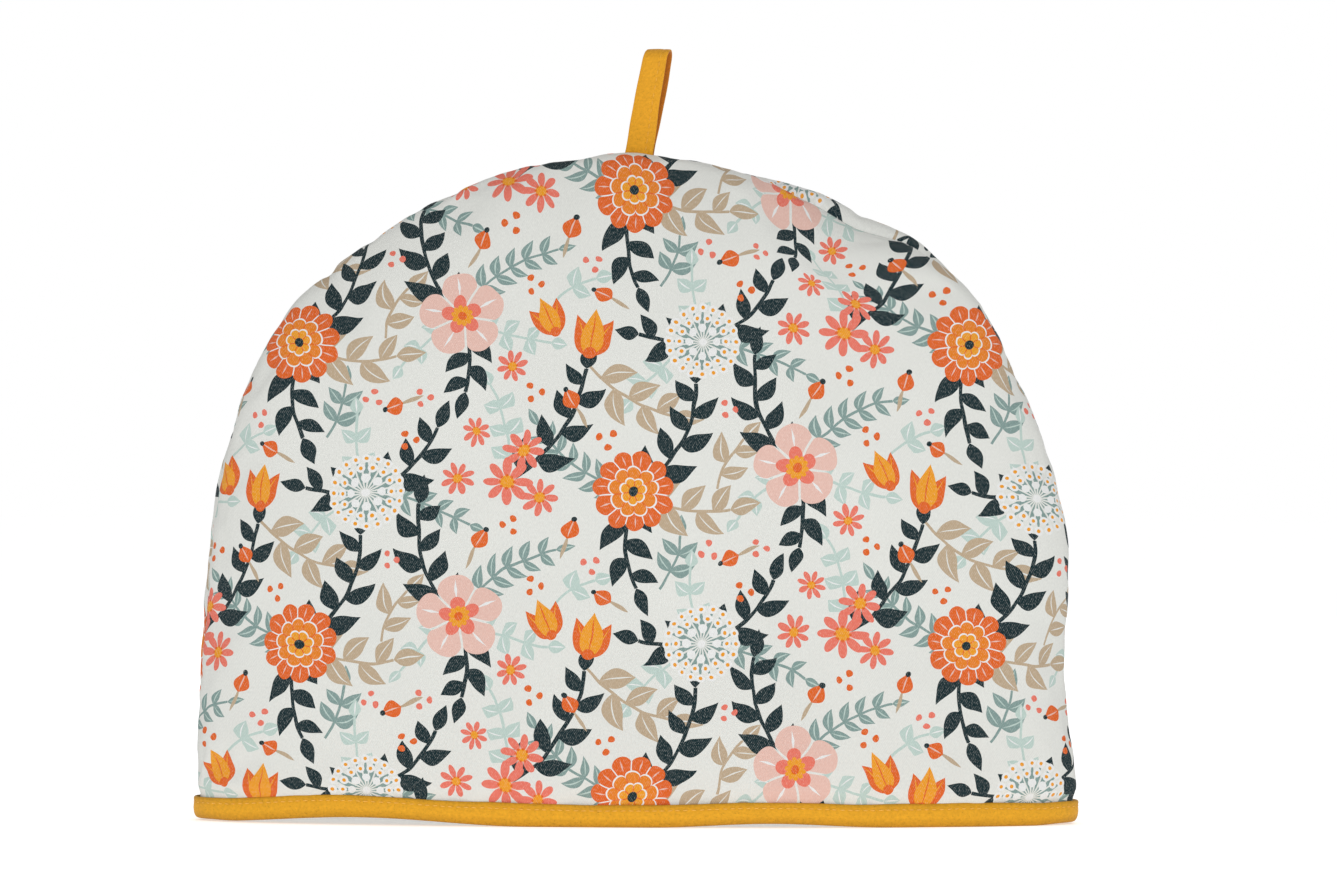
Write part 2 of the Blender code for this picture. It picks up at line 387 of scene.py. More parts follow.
class PrintSettings(bpy.types.PropertyGroup):
    """Repeat and colours of the printed cotton."""

    repeat_width: length_setting("Repeat width", "Distance between two columns, each half dropped", 128 * MM)
    repeat_height: length_setting("Repeat height", "Distance between two rows of the repeat", 116 * MM)
    ground: colour_setting("Ground", "Unprinted off-white cotton", paint(217, 218, 213))
    navy: colour_setting("Navy", "Dark laurel leaves and stems", paint(14, 39, 44))
    sage: colour_setting("Sage", "Fern leaves", paint(124, 148, 144))
    mint: colour_setting("Mint", "Pale round leaves", paint(180, 199, 192))
    tan: colour_setting("Tan", "Dry leaves and stems", paint(180, 160, 134))
    orange: colour_setting("Orange", "Rosettes and hips", paint(214, 96, 32))
    mustard: colour_setting("Mustard", "Tulips and flower centres", paint(226, 150, 34))
    blush: colour_setting("Blush", "Broad petals", paint(220, 182, 170))
    coral: colour_setting("Coral", "Asters", paint(222, 114, 96))
    white: colour_setting("White", "Umbels and fine strokes", paint(224, 225, 224))
    lining: colour_setting("Lining", "Plain cotton inside", paint(226, 225, 216))


class BindingSettings(bpy.types.PropertyGroup):
    """Binding and its sewing."""

    colour: colour_setting("Tape", "Mustard cotton of the binding", paint(222, 161, 38))
    thread: colour_setting("Thread", "Sewing thread", paint(242, 188, 80))
    pitch: length_setting("Stitch pitch", "Distance from one stitch to the next", 3.0 * MM)
    stitch: length_setting("Stitch length", "Length of the thread that shows in a stitch", 2.1 * MM)
    thread_size: length_setting("Thread size", "Thickness of the sewing thread", 0.46 * MM)
    ripple: length_setting("Ripple", "Unevenness of the folded tape", 0.22 * MM)
    stitches: IntProperty(name="Stitches", description="Stitches once round the hem", default=243, min=8)


class LoopSettings(bpy.types.PropertyGroup):
    """Hanging loop and its sewing."""

    colour: colour_setting("Loop tape", "Mustard cotton of the loop", paint(217, 154, 37))
    # Painted shade: the same mustard cloth as the loop's outer side, given a darker colour where the tape
    # looks into the loop.
    inside: colour_setting("Loop inside", "Side of the tape that looks into the loop", paint(182, 108, 31))
    thread: colour_setting("Loop thread", "Sewing thread of the loop", paint(233, 178, 72))
    thread_size: length_setting("Loop thread size", "Thickness of the loop's stitches", 0.32 * MM)
    sink: length_setting("Sunk length", "Length of each leg that is sewn into the seam", 3.0 * MM)


class StageSettings(bpy.types.PropertyGroup):
    """Camera and light."""

    distance: length_setting("Camera distance", "From the camera to the cosy's middle", 4.0)
    frame_width: length_setting("Frame width", "Width of the picture at the cosy", 517.8 * MM)
    aim_x: FloatProperty(
        name="Aim across", description="Picture's middle across", default=0.0123, unit="LENGTH"
    )
    aim_z: FloatProperty(
        name="Aim up", description="Picture's middle upwards", default=0.1455, unit="LENGTH"
    )
    elevation: FloatProperty(
        name="Elevation",
        description="Camera's height over the hem",
        default=math.radians(0.7),
        subtype="ANGLE",
    )
    room_light: FloatProperty(
        name="Room light",
        description="Light from all round, where the background is 1",
        default=0.56,
        subtype="FACTOR",
    )
    roll: FloatProperty(name="Roll", description="Camera's turn", default=math.radians(0.26), subtype="ANGLE")


class CosySettings(bpy.types.PropertyGroup):
    """All settings of the tea cosy."""

    cover: PointerProperty(type=CoverSettings, name="Covers", description="Fine shape of the covers")
    print_: PointerProperty(type=PrintSettings, name="Print", description="Repeat and colours of the print")
    binding: PointerProperty(type=BindingSettings, name="Binding", description="Binding and its sewing")
    loop: PointerProperty(type=LoopSettings, name="Loop", description="Hanging loop")
    stage: PointerProperty(type=StageSettings, name="Stage", description="Camera and light")


# ---------------------------------------------------------------------------------------------------
# Cloth materials
# ---------------------------------------------------------------------------------------------------


class Weaver:
    """Adds shader nodes to a tree. A number, tuple or colour fed to a socket becomes its value."""

    def __init__(self, tree):
        self.tree = tree
        self.count = 0

    def add(self, kind, feeds=(), **choices):
        """Adds a node, makes its choices and feeds its sockets, given as (socket, value) pairs."""
        node = self.tree.nodes.new(kind)
        for choice, value in choices.items():
            setattr(node, choice, value)
        for socket, value in feeds:
            self.feed(node.inputs[socket], value)
        node.location = (240 * (self.count // 12), -170 * (self.count % 12))
        self.count += 1
        return node

    def feed(self, socket, value):
        """Links a socket or sets its value."""
        if isinstance(value, bpy.types.NodeSocket):
            self.tree.links.new(value, socket)
        elif socket.type == "RGBA":
            socket.default_value = (*tuple(value)[:3], 1.0)
        else:
            socket.default_value = value

    def math(self, operation, first, second=0.0, third=0.0):
        """One step of arithmetic."""
        feeds = ((0, first), (1, second), (2, third))
        return self.add("ShaderNodeMath", feeds, operation=operation).outputs[0]

    def vector(self, operation, first, second=(0.0, 0.0, 0.0), answer=0):
        """One step of vector arithmetic."""
        feeds = ((0, first), (1, second))
        return self.add("ShaderNodeVectorMath", feeds, operation=operation).outputs[answer]

    def scaled(self, vector, scale):
        """A vector times a number."""
        return self.add("ShaderNodeVectorMath", ((0, vector), ("Scale", scale)), operation="SCALE").outputs[0]

    def along(self, vector):
        """A vector's x and y, as dot products, which take up less of a big shader than a split."""
        axes = (1.0, 0.0, 0.0), (0.0, 1.0, 0.0)
        return [self.vector("DOT_PRODUCT", vector, axis, 1) for axis in axes]

    def joined(self, x, y, z=0.0):
        """A vector from three numbers."""
        return self.add("ShaderNodeCombineXYZ", ((0, x), (1, y), (2, z))).outputs[0]

    def mix(self, share, under, over):
        """A colour between two."""
        feeds = ((0, share), (6, under), (7, over))
        return self.add("ShaderNodeMix", feeds, data_type="RGBA").outputs[2]

    def turned(self, vector, middle, turn):
        """A place seen from a middle, turned by an angle in radians."""
        away = self.vector("SUBTRACT", vector, middle)
        feeds = (("Vector", away), ("Angle", turn))
        return self.add("ShaderNodeVectorRotate", feeds, rotation_type="Z_AXIS").outputs[0]

    def clouds(self, vector, scale, detail=2.0):
        """Soft noise from 0 to 1 and its colour."""
        feeds = (("Vector", vector), ("Scale", scale), ("Detail", detail))
        return self.add("ShaderNodeTexNoise", feeds).outputs

    def cloth_place(self):
        """Place on the flat cloth, in millimetres."""
        uv = self.add("ShaderNodeUVMap", uv_map="cloth").outputs[0]
        return self.scaled(uv, 1.0 / MM)


def new_cloth(name):
    """A material, a Weaver on its nodes and its shader."""
    material = bpy.data.materials.new(name)
    material.use_nodes = True
    return material, Weaver(material.node_tree), material.node_tree.nodes["Principled BSDF"]


def finish_cloth(cloth, shader, colour, height, roughness, sheen, depth):
    """Feeds a cloth's shader: colour, weave as bump, dull surface and a little fuzz."""
    cloth.feed(shader.inputs["Base Color"], colour)
    shader.inputs["Roughness"].default_value = roughness
    shader.inputs["Specular IOR Level"].default_value = 0.18
    shader.inputs["Sheen Weight"].default_value = sheen
    shader.inputs["Sheen Roughness"].default_value = 0.5
    relief = cloth.add("ShaderNodeBump", (("Height", height), ("Strength", 0.6), ("Distance", depth)))
    cloth.feed(shader.inputs["Normal"], relief.outputs[0])


def ribs(cloth, place, degrees, pitch):
    """Waves from 0 to 1 across a direction, in the cloth's millimetres."""
    angle = math.radians(degrees)
    turn = 2.0 * math.pi / pitch
    across = cloth.vector("DOT_PRODUCT", place, (math.cos(angle) * turn, math.sin(angle) * turn, 0.0), 1)
    return cloth.math("MULTIPLY_ADD", cloth.math("SINE", across), 0.5, 0.5)


TWILL_PITCH = 0.62
TWILL_DEGREES = 28.0
THREAD_PITCH = 0.42
LINING_PITCH = 0.5
TAPE_PITCH = 0.38
THREAD_TWIST = 40.0

# Range over which the print's edges stray from a true outline, half of it each way, in millimetres.
PRINT_STRAY = 3.0
# Dye patches of the printed cotton: stretch and how many to a millimetre.
PATCH_STRETCH = (1.15, 0.85, 1.0)
PATCH_SCALE = 1.25
# The print is thin on a thread where patch times weave is over this.
THIN_PRINT_FROM = 0.47
# Shares of its colour by which the printed cotton varies, and the least that is left.
CLOTH_LEAST, CLOTH_DRIFT, CLOTH_PATCHES, CLOTH_WEAVE = 0.832, 0.06, 0.20, 0.06

# The same for the mustard tape, whose dark flecks show where the noise is over FLECKS_FROM.
DYE_LEAST, DYE_DRIFT, SLUBS, MOTTLES, TAPE_WEAVE = 0.93, 0.14, 0.12, 0.45, 0.07
FLECKS, FLECKS_FROM = 0.20, 0.66


def twill(cloth, place):
    """Height of the cotton twill: diagonal ribs, broken up by their threads."""
    unsteady = cloth.scaled(cloth.vector("SUBTRACT", cloth.clouds(place, 0.35)[1], (0.5, 0.5, 0.5)), 0.5)
    pulled = cloth.vector("ADD", place, unsteady)
    diagonal = ribs(cloth, pulled, TWILL_DEGREES, TWILL_PITCH)
    threads = ribs(cloth, pulled, 90.0, THREAD_PITCH)
    return cloth.math("MULTIPLY_ADD", threads, 0.35, diagonal)


def plain_weave(cloth, place, degrees, pitch):
    """Height of a plain weave whose threads run at degrees and across it."""
    warp = ribs(cloth, place, degrees, pitch)
    weft = ribs(cloth, place, degrees + 90.0, pitch)
    return cloth.math("MULTIPLY", warp, weft)


class Sprig(NamedTuple):
    """A bent stem with leaves on both sides, from its root outwards. Bend is its whole turn to the left."""

    x: float
    y: float
    degrees: float
    length: float
    bend: float
    stem: float
    pairs: int
    by_turns: bool
    spread: float
    leaf_length: float
    leaf_width: float
    ink: str
    veined: bool


class Bloom(NamedTuple):
    """A flower at a place of the repeat."""

    kind: str
    x: float
    y: float
    degrees: float
    size: float


class Specks(NamedTuple):
    """Three small dots."""

    x: float
    y: float
    size: float
    ink: str


SPRIGS = (
    Sprig(30, 30, 170, 46, -50, 1.0, 7, False, 50, 10, 4.2, "sage", True),
    Sprig(92, 40, 60, 46, -50, 1.0, 7, False, 50, 10, 4.2, "sage", True),
    Sprig(56, 88, 205, 36, 30, 1.0, 4, False, 56, 9, 7.0, "mint", True),
    Sprig(110, 92, 80, 38, 40, 1.0, 4, False, 56, 9, 7.0, "mint", True),
    Sprig(92, 40, -30, 36, 24, 1.0, 4, False, 56, 9, 6.0, "mint", True),
    Sprig(40, -7, 52, 22, 34, 1.0, 3, False, 50, 11, 5.2, "sage", True),
    Sprig(0, 103, 46, 18, -30, 1.0, 2, False, 52, 9, 6.4, "mint", True),
    Sprig(56, 88, 108, 30, -20, 1.0, 3, False, 52, 9, 6.0, "mint", True),
    Sprig(92, 40, 212, 31, 20, 1.0, 3, False, 52, 8, 5.4, "mint", True),
    Sprig(56, 88, -6, 42, -24, 1.0, 6, False, 50, 9, 4.2, "sage", True),
    Sprig(62, 31, 84, 22, -40, 1.0, 2, True, 46, 13, 6.6, "tan", True),
    Sprig(30, 30, -30, 38, 40, 1.1, 3, True, 44, 16, 8.0, "tan", True),
    Sprig(141, 20, -50, 38, 40, 1.1, 3, True, 44, 16, 8.0, "tan", True),
    Sprig(30, 30, 30, 50, 60, 1.5, 4, True, 46, 15, 7.0, "navy", False),
    Sprig(30, 30, 250, 38, 44, 1.5, 3, True, 46, 15, 7.0, "navy", False),
    Sprig(92, 40, 140, 48, -60, 1.5, 4, True, 46, 15, 7.0, "navy", False),
    Sprig(92, 40, 290, 31, -36, 1.5, 3, True, 46, 14, 6.8, "navy", False),
    Sprig(56, 88, 186, 24, -20, 1.5, 2, True, 46, 14, 6.8, "navy", False),
    Sprig(56, 88, 14, 38, 56, 1.5, 3, True, 46, 15, 7.0, "navy", False),
    Sprig(110, 92, 30, 54, 50, 1.5, 4, True, 46, 15, 7.0, "navy", False),
)

BLOOMS = (
    Bloom("rosette", 30, 30, 10, 15.5),
    Bloom("primrose", 92, 40, 25, 16.5),
    Bloom("umbel", 56, 88, 0, 14.5),
    Bloom("tulip", 141, 24, 82, 18.0),
    Bloom("tulip", 128, 32, 112, 16.0),
    Bloom("aster", 110, 92, 0, 9.5),
    Bloom("aster", 122, 86, 40, 7.5),
    Bloom("aster", 116, 104, 80, 8.0),
    Bloom("aster", 91, 93, 20, 6.5),
    Bloom("aster", 112, 20, 60, 6.0),
    Bloom("aster", 98, 111, 30, 5.5),
    Bloom("hip", 21, 104, 150, 7.5),
    Bloom("hip", 5, 12, 70, 8.0),
    Bloom("hip", 8, 62, 120, 8.0),
    Bloom("hip", 98, 66, 60, 8.0),
    Bloom("hip", 70, 6, 200, 8.0),
)

SPECKS = (
    Specks(20, 50, 1.3, "orange"),
    Specks(72, 108, 1.3, "orange"),
    Specks(78, 8, 1.2, "coral"),
    Specks(120, 10, 1.3, "orange"),
    Specks(66, 62, 1.2, "coral"),
    Specks(120, 52, 1.3, "orange"),
    Specks(111, 75, 1.3, "orange"),
    Specks(14, 2, 1.2, "coral"),
    Specks(58, 8, 1.2, "coral"),
)


NUMBER, PLACE, INK = "NodeSocketFloat", "NodeSocketVector", "NodeSocketColor"
OUT_OF_SIGHT = 1000.0


def stamp(name, sockets, draw):
    """A node group. draw gets a Weaver and one socket for each name in sockets, and gives the answer."""
    tree = bpy.data.node_groups.new(name, "ShaderNodeTree")
    for socket, kind in sockets.items():
        tree.interface.new_socket(socket, in_out="INPUT", socket_type=kind)
    shape = Weaver(tree)
    entry = shape.add("NodeGroupInput")
    answer = draw(shape, *entry.outputs[: len(sockets)])
    tree.interface.new_socket("answer", in_out="OUTPUT", socket_type=INK if answer.type == "RGBA" else PLACE)
    shape.add("NodeGroupOutput", ((0, answer),))
    return tree


def draw_repeat(shape, place, middle, turn, width, height):
    """The cloth's place as seen from the nearest copy of a middle in a half-drop repeat."""
    away_x, away_y = shape.along(shape.vector("SUBTRACT", place, middle))
    half_width = shape.math("MULTIPLY", width, 0.5)
    half_height = shape.math("MULTIPLY", height, 0.5)
    near_x = shape.math("WRAP", away_x, half_width, shape.math("MULTIPLY", half_width, -1.0))
    columns = shape.math("SUBTRACT", away_x, near_x)
    odd = shape.math("DIVIDE", shape.math("PINGPONG", columns, width), width)
    dropped = shape.math("SUBTRACT", away_y, shape.math("MULTIPLY", odd, half_height))
    near_y = shape.math("WRAP", dropped, half_height, shape.math("MULTIPLY", half_height, -1.0))
    return shape.turned(shape.joined(near_x, near_y), (0.0, 0.0, 0.0), turn)


def draw_disc(shape, under, place, middle, radius, ink):
    """A round spot."""
    away = shape.vector("DISTANCE", place, middle, 1)
    return shape.mix(shape.math("LESS_THAN", away, radius), under, ink)


def draw_leaf(shape, under, place, middle, turn, half_length, width, bend, ink, vein):
    """A bent leaf, fuller near its root, with a vein that thins out to both ends."""
    along, aside = shape.along(shape.turned(place, middle, turn))
    share = shape.math("DIVIDE", along, half_length)
    lens = shape.math("MAXIMUM", shape.math("SUBTRACT", 1.0, shape.math("MULTIPLY", share, share)), 0.0)
    full = shape.math("MULTIPLY", lens, shape.math("MULTIPLY_ADD", share, -0.22, 0.5))
    off = shape.math("ABSOLUTE", shape.math("SUBTRACT", aside, shape.math("MULTIPLY", lens, bend)))
    mask = shape.math("LESS_THAN", off, shape.math("MULTIPLY", full, width))
    on_vein = shape.math("LESS_THAN", off, shape.math("MULTIPLY_ADD", lens, 0.4, -0.12))
    return shape.mix(mask, under, shape.mix(on_vein, ink, vein))


def draw_spray(shape, under, place, centre, heading, radius, length, step, stagger, stem, far, *leaf):
    """A stem along a ring, with leaves on its two sides, each side a row of one leaf drawn over and over."""
    x, y = shape.along(shape.turned(place, centre, heading))
    along = shape.math("MULTIPLY", shape.math("ARCTAN2", y, x), radius)
    reach = shape.vector("LENGTH", shape.joined(x, y), answer=1)
    off = shape.math("SUBTRACT", reach, shape.math("ABSOLUTE", radius))
    aside = shape.math("ABSOLUTE", off)
    half_length = shape.math("MULTIPLY", length, 0.5)
    inner = shape.math("LESS_THAN", off, 0.0)
    ahead = shape.math("ADD", shape.math("MULTIPLY_ADD", inner, stagger, along), half_length)
    near = shape.math("WRAP", ahead, shape.math("MULTIPLY", step, 0.92), shape.math("MULTIPLY", step, -0.08))
    root = shape.math("SUBTRACT", along, near)
    beyond = shape.math("GREATER_THAN", shape.math("ABSOLUTE", root), shape.math("MULTIPLY", length, 0.48))
    size = shape.math("SUBTRACT", 0.86, shape.math("MULTIPLY", shape.math("DIVIDE", root, length), 0.28))
    folded = shape.joined(near, shape.math("MULTIPLY_ADD", beyond, far, aside))
    sized = shape.vector("DIVIDE", folded, shape.joined(size, size, 1.0))
    leaves = draw_leaf(shape, under, sized, *leaf)
    on_line = shape.math("LESS_THAN", aside, stem)
    not_past = shape.math("LESS_THAN", shape.math("ABSOLUTE", along), half_length)
    on_stem = shape.math("MULTIPLY", on_line, not_past)
    return shape.mix(on_stem, leaves, leaf[-2])


def draw_petals(shape, under, place, half_count, inner, spare, roundness, gap, ink, gap_ink):
    """A ring of petals seen from above, inner to the notches and spare more to their tips, with gaps."""
    x, y = shape.along(place)
    reach = shape.vector("LENGTH", place, answer=1)
    turn = shape.math("MULTIPLY", shape.math("ARCTAN2", y, x), half_count)
    wave = shape.math("ABSOLUTE", shape.math("COSINE", turn))
    limit = shape.math("MULTIPLY_ADD", shape.math("POWER", wave, roundness), spare, inner)
    close = shape.math("LESS_THAN", shape.math("MULTIPLY", wave, reach), gap)
    return shape.mix(shape.math("LESS_THAN", reach, limit), under, shape.mix(close, ink, gap_ink))


def draw_strokes(shape, under, place, half_count, middle, half_length, width, ink):
    """A fine line along the middle of each petal."""
    x, y = shape.along(place)
    reach = shape.vector("LENGTH", place, answer=1)
    turn = shape.math("MULTIPLY", shape.math("ARCTAN2", y, x), half_count)
    across = shape.math("ABSOLUTE", shape.math("SINE", turn))
    off = shape.math("ABSOLUTE", shape.math("DIVIDE", shape.math("SUBTRACT", reach, middle), half_length))
    thinned = shape.math("MULTIPLY", width, shape.math("SUBTRACT", 1.0, off))
    mask = shape.math("LESS_THAN", shape.math("MULTIPLY", across, reach), thinned)
    return shape.mix(mask, under, ink)


def draw_dot_ring(shape, under, place, radius, half_pitch, size, ink):
    """A ring of dots, such as stamens."""
    x, y = shape.along(place)
    round_it = shape.math("MULTIPLY", shape.math("ARCTAN2", y, x), radius)
    near = shape.math("WRAP", round_it, half_pitch, shape.math("MULTIPLY", half_pitch, -1.0))
    off = shape.math("SUBTRACT", shape.vector("LENGTH", place, answer=1), radius)
    away = shape.vector("LENGTH", shape.joined(near, off), answer=1)
    return shape.mix(shape.math("LESS_THAN", away, size), under, ink)


def stamps():
    """All the stamps that the print is made with."""

    def numbers(*names):
        return dict.fromkeys(names, NUMBER)

    start = {"under": INK, "place": PLACE}
    leaf = {"middle": PLACE, **numbers("turn", "half_length", "width", "bend"), "ink": INK, "vein": INK}
    line = {"centre": PLACE, **numbers("heading", "radius", "length", "step", "stagger", "stem", "far")}
    petals = numbers("half_count", "inner", "spare", "roundness", "gap")
    strokes = numbers("half_count", "middle", "half_length", "width")
    dots = numbers("radius", "half_pitch", "size")
    repeat = numbers("turn", "width", "height")
    drawn = {
        "disc": (draw_disc, {**start, "middle": PLACE, "radius": NUMBER, "ink": INK}),
        "leaf": (draw_leaf, {**start, **leaf}),
        "spray": (draw_spray, {**start, **line, **leaf}),
        "petals": (draw_petals, {**start, **petals, "ink": INK, "gap_ink": INK}),
        "strokes": (draw_strokes, {**start, **strokes, "ink": INK}),
        "dot_ring": (draw_dot_ring, {**start, **dots, "ink": INK}),
        "repeat": (draw_repeat, {"place": PLACE, "middle": PLACE, **repeat}),
    }
    return {name: stamp(name, sockets, draw) for name, (draw, sockets) in drawn.items()}


class Printer:
    """Draws motifs one over another on a cloth, each at every place of a half-drop repeat."""

    def __init__(self, cloth, place, inks):
        self.cloth = cloth
        self.place = place
        self.inks = inks
        self.stamps = stamps()
        self.colour = tuple(inks.ground)

    def ink(self, name):
        """An ink's colour."""
        return tuple(getattr(self.inks, name)) if isinstance(name, str) else name

    def press(self, name, feeds):
        """Uses a stamp and gives its answer."""
        node = self.cloth.add("ShaderNodeGroup", node_tree=self.stamps[name])
        for socket, value in feeds.items():
            self.cloth.feed(node.inputs[socket], value)
        return node.outputs[0]

    def lay(self, name, at, **feeds):
        """Prints a stamp over what is there."""
        self.colour = self.press(name, {"under": self.colour, "place": at, **feeds})

    def at(self, x, y, degrees=0.0):
        """The cloth's place as seen from the nearest copy of (x, y)."""
        size = {"width": self.inks.repeat_width / MM, "height": self.inks.repeat_height / MM}
        turn = -math.radians(degrees)
        return self.press("repeat", {"place": self.place, "middle": (x, y, 0.0), "turn": turn, **size})

    def disc(self, at, radius, ink, x=0.0, y=0.0):
        """A round spot."""
        self.lay("disc", at, middle=(x, y, 0.0), radius=radius, ink=self.ink(ink))

    def leaf_feeds(self, x, y, degrees, length, width, ink, vein=None, bend=0.0):
        """What a leaf from its root at (x, y) feeds to a stamp."""
        angle = math.radians(degrees)
        middle = (x + 0.5 * length * math.cos(angle), y + 0.5 * length * math.sin(angle), 0.0)
        shape = {"half_length": 0.5 * length, "width": width, "bend": bend * length}
        inks = {"ink": self.ink(ink), "vein": self.ink(vein or ink)}
        return {"middle": middle, "turn": -angle, **shape, **inks}

    def leaf(self, at, *row):
        """A leaf."""
        self.lay("leaf", at, **self.leaf_feeds(*row))

    def petals(self, at, count, radius, notch, roundness, ink, gap_ink=None, gap=0.0):
        """A ring of petals."""
        shape = {"half_count": 0.5 * count, "inner": radius * notch, "spare": radius * (1.0 - notch)}
        inks = {"ink": self.ink(ink), "gap_ink": self.ink(gap_ink or ink)}
        self.lay("petals", at, roundness=roundness, gap=0.5 * count * gap, **shape, **inks)

    def strokes(self, at, count, start, end, width, ink):
        """A fine line along the middle of each petal, from start to end."""
        shape = {"middle": 0.5 * (start + end), "half_length": 0.5 * (end - start)}
        self.lay("strokes", at, half_count=0.5 * count, width=0.5 * count * width, ink=self.ink(ink), **shape)

    def dot_ring(self, at, radius, count, size, ink):
        """A ring of dots."""
        half_pitch = math.pi * radius / count
        self.lay("dot_ring", at, radius=radius, half_pitch=half_pitch, size=size, ink=self.ink(ink))

    def sprig(self, row):
        """A stem bent to a circle, with leaves on its two sides and one at its tip."""
        bend = math.radians(row.bend)
        radius = row.length / bend
        start = math.radians(row.degrees)
        centre = Vector((-math.sin(start), math.cos(start))) * radius
        outwards = start + 0.5 * bend - math.copysign(0.5 * math.pi, radius)
        step = row.length / row.pairs
        line = {"centre": (*centre, 0.0), "heading": -outwards, "radius": radius, "length": row.length}
        line |= {"step": step, "stagger": 0.5 * step if row.by_turns else 0.0}
        line |= {"stem": 0.5 * row.stem, "far": OUT_OF_SIGHT}
        pale = {"sage": "mint", "mint": "white", "tan": "ground"}.get(row.ink) if row.veined else None
        shape = (row.leaf_length, row.leaf_width, row.ink, pale)
        place = self.at(row.x, row.y)
        self.lay("spray", place, **line, **self.leaf_feeds(0.0, 0.0, row.spread, *shape, 0.08))
        end = start + bend
        tip = centre + Vector((math.sin(end), -math.cos(end))) * radius
        smaller = (0.75 * row.leaf_length, 0.75 * row.leaf_width, row.ink, pale)
        self.leaf(place, *tip, math.degrees(end), *smaller)

    def rosette(self, at, size):
        """A double flower: three rings of petals, the inner ones lighter."""
        warm = [0.55 * dark + 0.45 * light for dark, light in zip(self.ink("orange"), self.ink("mustard"))]
        self.petals(at, 11, size, 0.8, 0.5, "orange", "white", 0.22)
        self.strokes(at, 11, 0.62 * size, 0.92 * size, 0.3, "blush")
        self.petals(at, 9, 0.64 * size, 0.78, 0.5, "white")
        self.petals(at, 9, 0.60 * size, 0.78, 0.5, warm, "orange", 0.22)
        self.petals(at, 7, 0.36 * size, 0.75, 0.5, "white")
        self.petals(at, 7, 0.32 * size, 0.75, 0.5, "mustard", "orange", 0.2)
        self.disc(at, 0.12 * size, "navy")

    def primrose(self, at, size):
        """Five broad petals with pale strokes round a mustard centre."""
        self.petals(at, 5, size, 0.5, 0.32, "blush", "ground", 0.45)
        self.strokes(at, 5, 0.42 * size, 0.9 * size, 0.55, "white")
        self.petals(at, 5, 0.48 * size, 0.5, 0.8, "coral")
        self.petals(at, 10, 0.26 * size, 0.7, 0.6, "mustard")
        self.disc(at, 0.1 * size, "orange")

    def umbel(self, at, size):
        """A flat head of tiny white flowers on sage rays."""
        self.disc(at, 0.98 * size, "ground")
        self.strokes(at, 20, 0.1 * size, 1.02 * size, 0.75, "sage")
        self.dot_ring(at, 0.9 * size, 20, 0.115 * size, "white")
        self.dot_ring(at, 0.64 * size, 14, 0.115 * size, "white")
        self.dot_ring(at, 0.38 * size, 8, 0.11 * size, "white")
        self.dot_ring(at, 0.9 * size, 20, 0.05 * size, "mustard")
        self.dot_ring(at, 0.64 * size, 14, 0.05 * size, "mustard")
        self.disc(at, 0.1 * size, "white")

    def aster(self, at, size):
        """A small coral flower with eight narrow petals."""
        self.petals(at, 8, size, 0.3, 0.8, "coral", "blush", 0.2)
        self.disc(at, 0.28 * size, "mustard")
        self.dot_ring(at, 0.28 * size, 8, 0.06 * size, "orange")

    def tulip(self, at, size):
        """A flower seen from the side: three petals with a small disc at their base."""
        self.leaf(at, 0.0, 0.0, 24.0, 0.9 * size, 0.40 * size, "orange", "mustard")
        self.leaf(at, 0.0, 0.0, -24.0, 0.9 * size, 0.40 * size, "orange", "mustard")
        self.leaf(at, 0.0, 0.0, 0.0, size, 0.44 * size, "mustard", "orange")
        self.disc(at, 0.12 * size, "orange", 0.08 * size)

    def hip(self, at, size):
        """A rose hip on a stalk."""
        self.leaf(at, -1.1 * size, 0.0, 0.0, 1.4 * size, 1.5, "tan")
        self.leaf(at, 0.0, 0.0, 0.0, size, 0.8 * size, "orange", "blush")
        self.disc(at, 0.13 * size, "navy", 0.96 * size)


def printed_cotton(inks):
    """Off-white cotton twill with a print of flowers and leaves."""
    material, cloth, shader = new_cloth("printed_cotton")
    place = cloth.cloth_place()
    drift = cloth.vector("SUBTRACT", cloth.clouds(place, 0.07, 1.0)[1], (0.5, 0.5, 0.5))
    by_hand = cloth.vector("ADD", place, cloth.scaled(drift, PRINT_STRAY))
    flat = cloth.vector("MULTIPLY", by_hand, (1.0, 1.0, 0.0))
    printer = Printer(cloth, flat, inks)
    for row in SPRIGS:
        printer.sprig(row)
    for row in BLOOMS:
        getattr(printer, row.kind)(printer.at(row.x, row.y, row.degrees), row.size)
    for row in SPECKS:
        printer.dot_ring(printer.at(row.x, row.y, 20.0 * row.x), 2.2 * row.size, 3, row.size, row.ink)

    weave = twill(cloth, place)
    patchy = cloth.clouds(cloth.vector("MULTIPLY", place, PATCH_STRETCH), PATCH_SCALE, 2.0)[0]
    thin = cloth.math("MAXIMUM", cloth.math("MULTIPLY_ADD", patchy, weave, -THIN_PRINT_FROM), 0.0)
    worn = cloth.mix(thin, printer.colour, tuple(inks.ground))
    tone = cloth.math("MULTIPLY_ADD", cloth.clouds(place, 0.03)[0], CLOTH_DRIFT, CLOTH_LEAST)
    patched = cloth.math("MULTIPLY_ADD", patchy, CLOTH_PATCHES, tone)
    grain = cloth.math("MULTIPLY_ADD", weave, CLOTH_WEAVE, patched)
    toned = cloth.scaled(worn, grain)
    finish_cloth(cloth, shader, toned, weave, 0.9, 0.02, 0.05 * MM)
    return material


def lining_cotton(inks):
    """Plain cotton of the covers' inner side."""
    material, cloth, shader = new_cloth("lining_cotton")
    place = cloth.cloth_place()
    weave = plain_weave(cloth, place, 0.0, LINING_PITCH)
    tone = cloth.math("MULTIPLY_ADD", cloth.clouds(place, 0.6)[0], 0.08, 0.93)
    plain = cloth.mix(0.0, tuple(inks.lining), tuple(inks.lining))
    finish_cloth(cloth, shader, cloth.scaled(plain, tone), weave, 0.9, 0.1, 0.06 * MM)
    return material


class CreaseShade(NamedTuple):
    """Painted shade along a fold: where it lies on the flat cloth, across x or y, and how far it reaches."""

    axis: tuple
    at: float
    reach: float
    darker: float


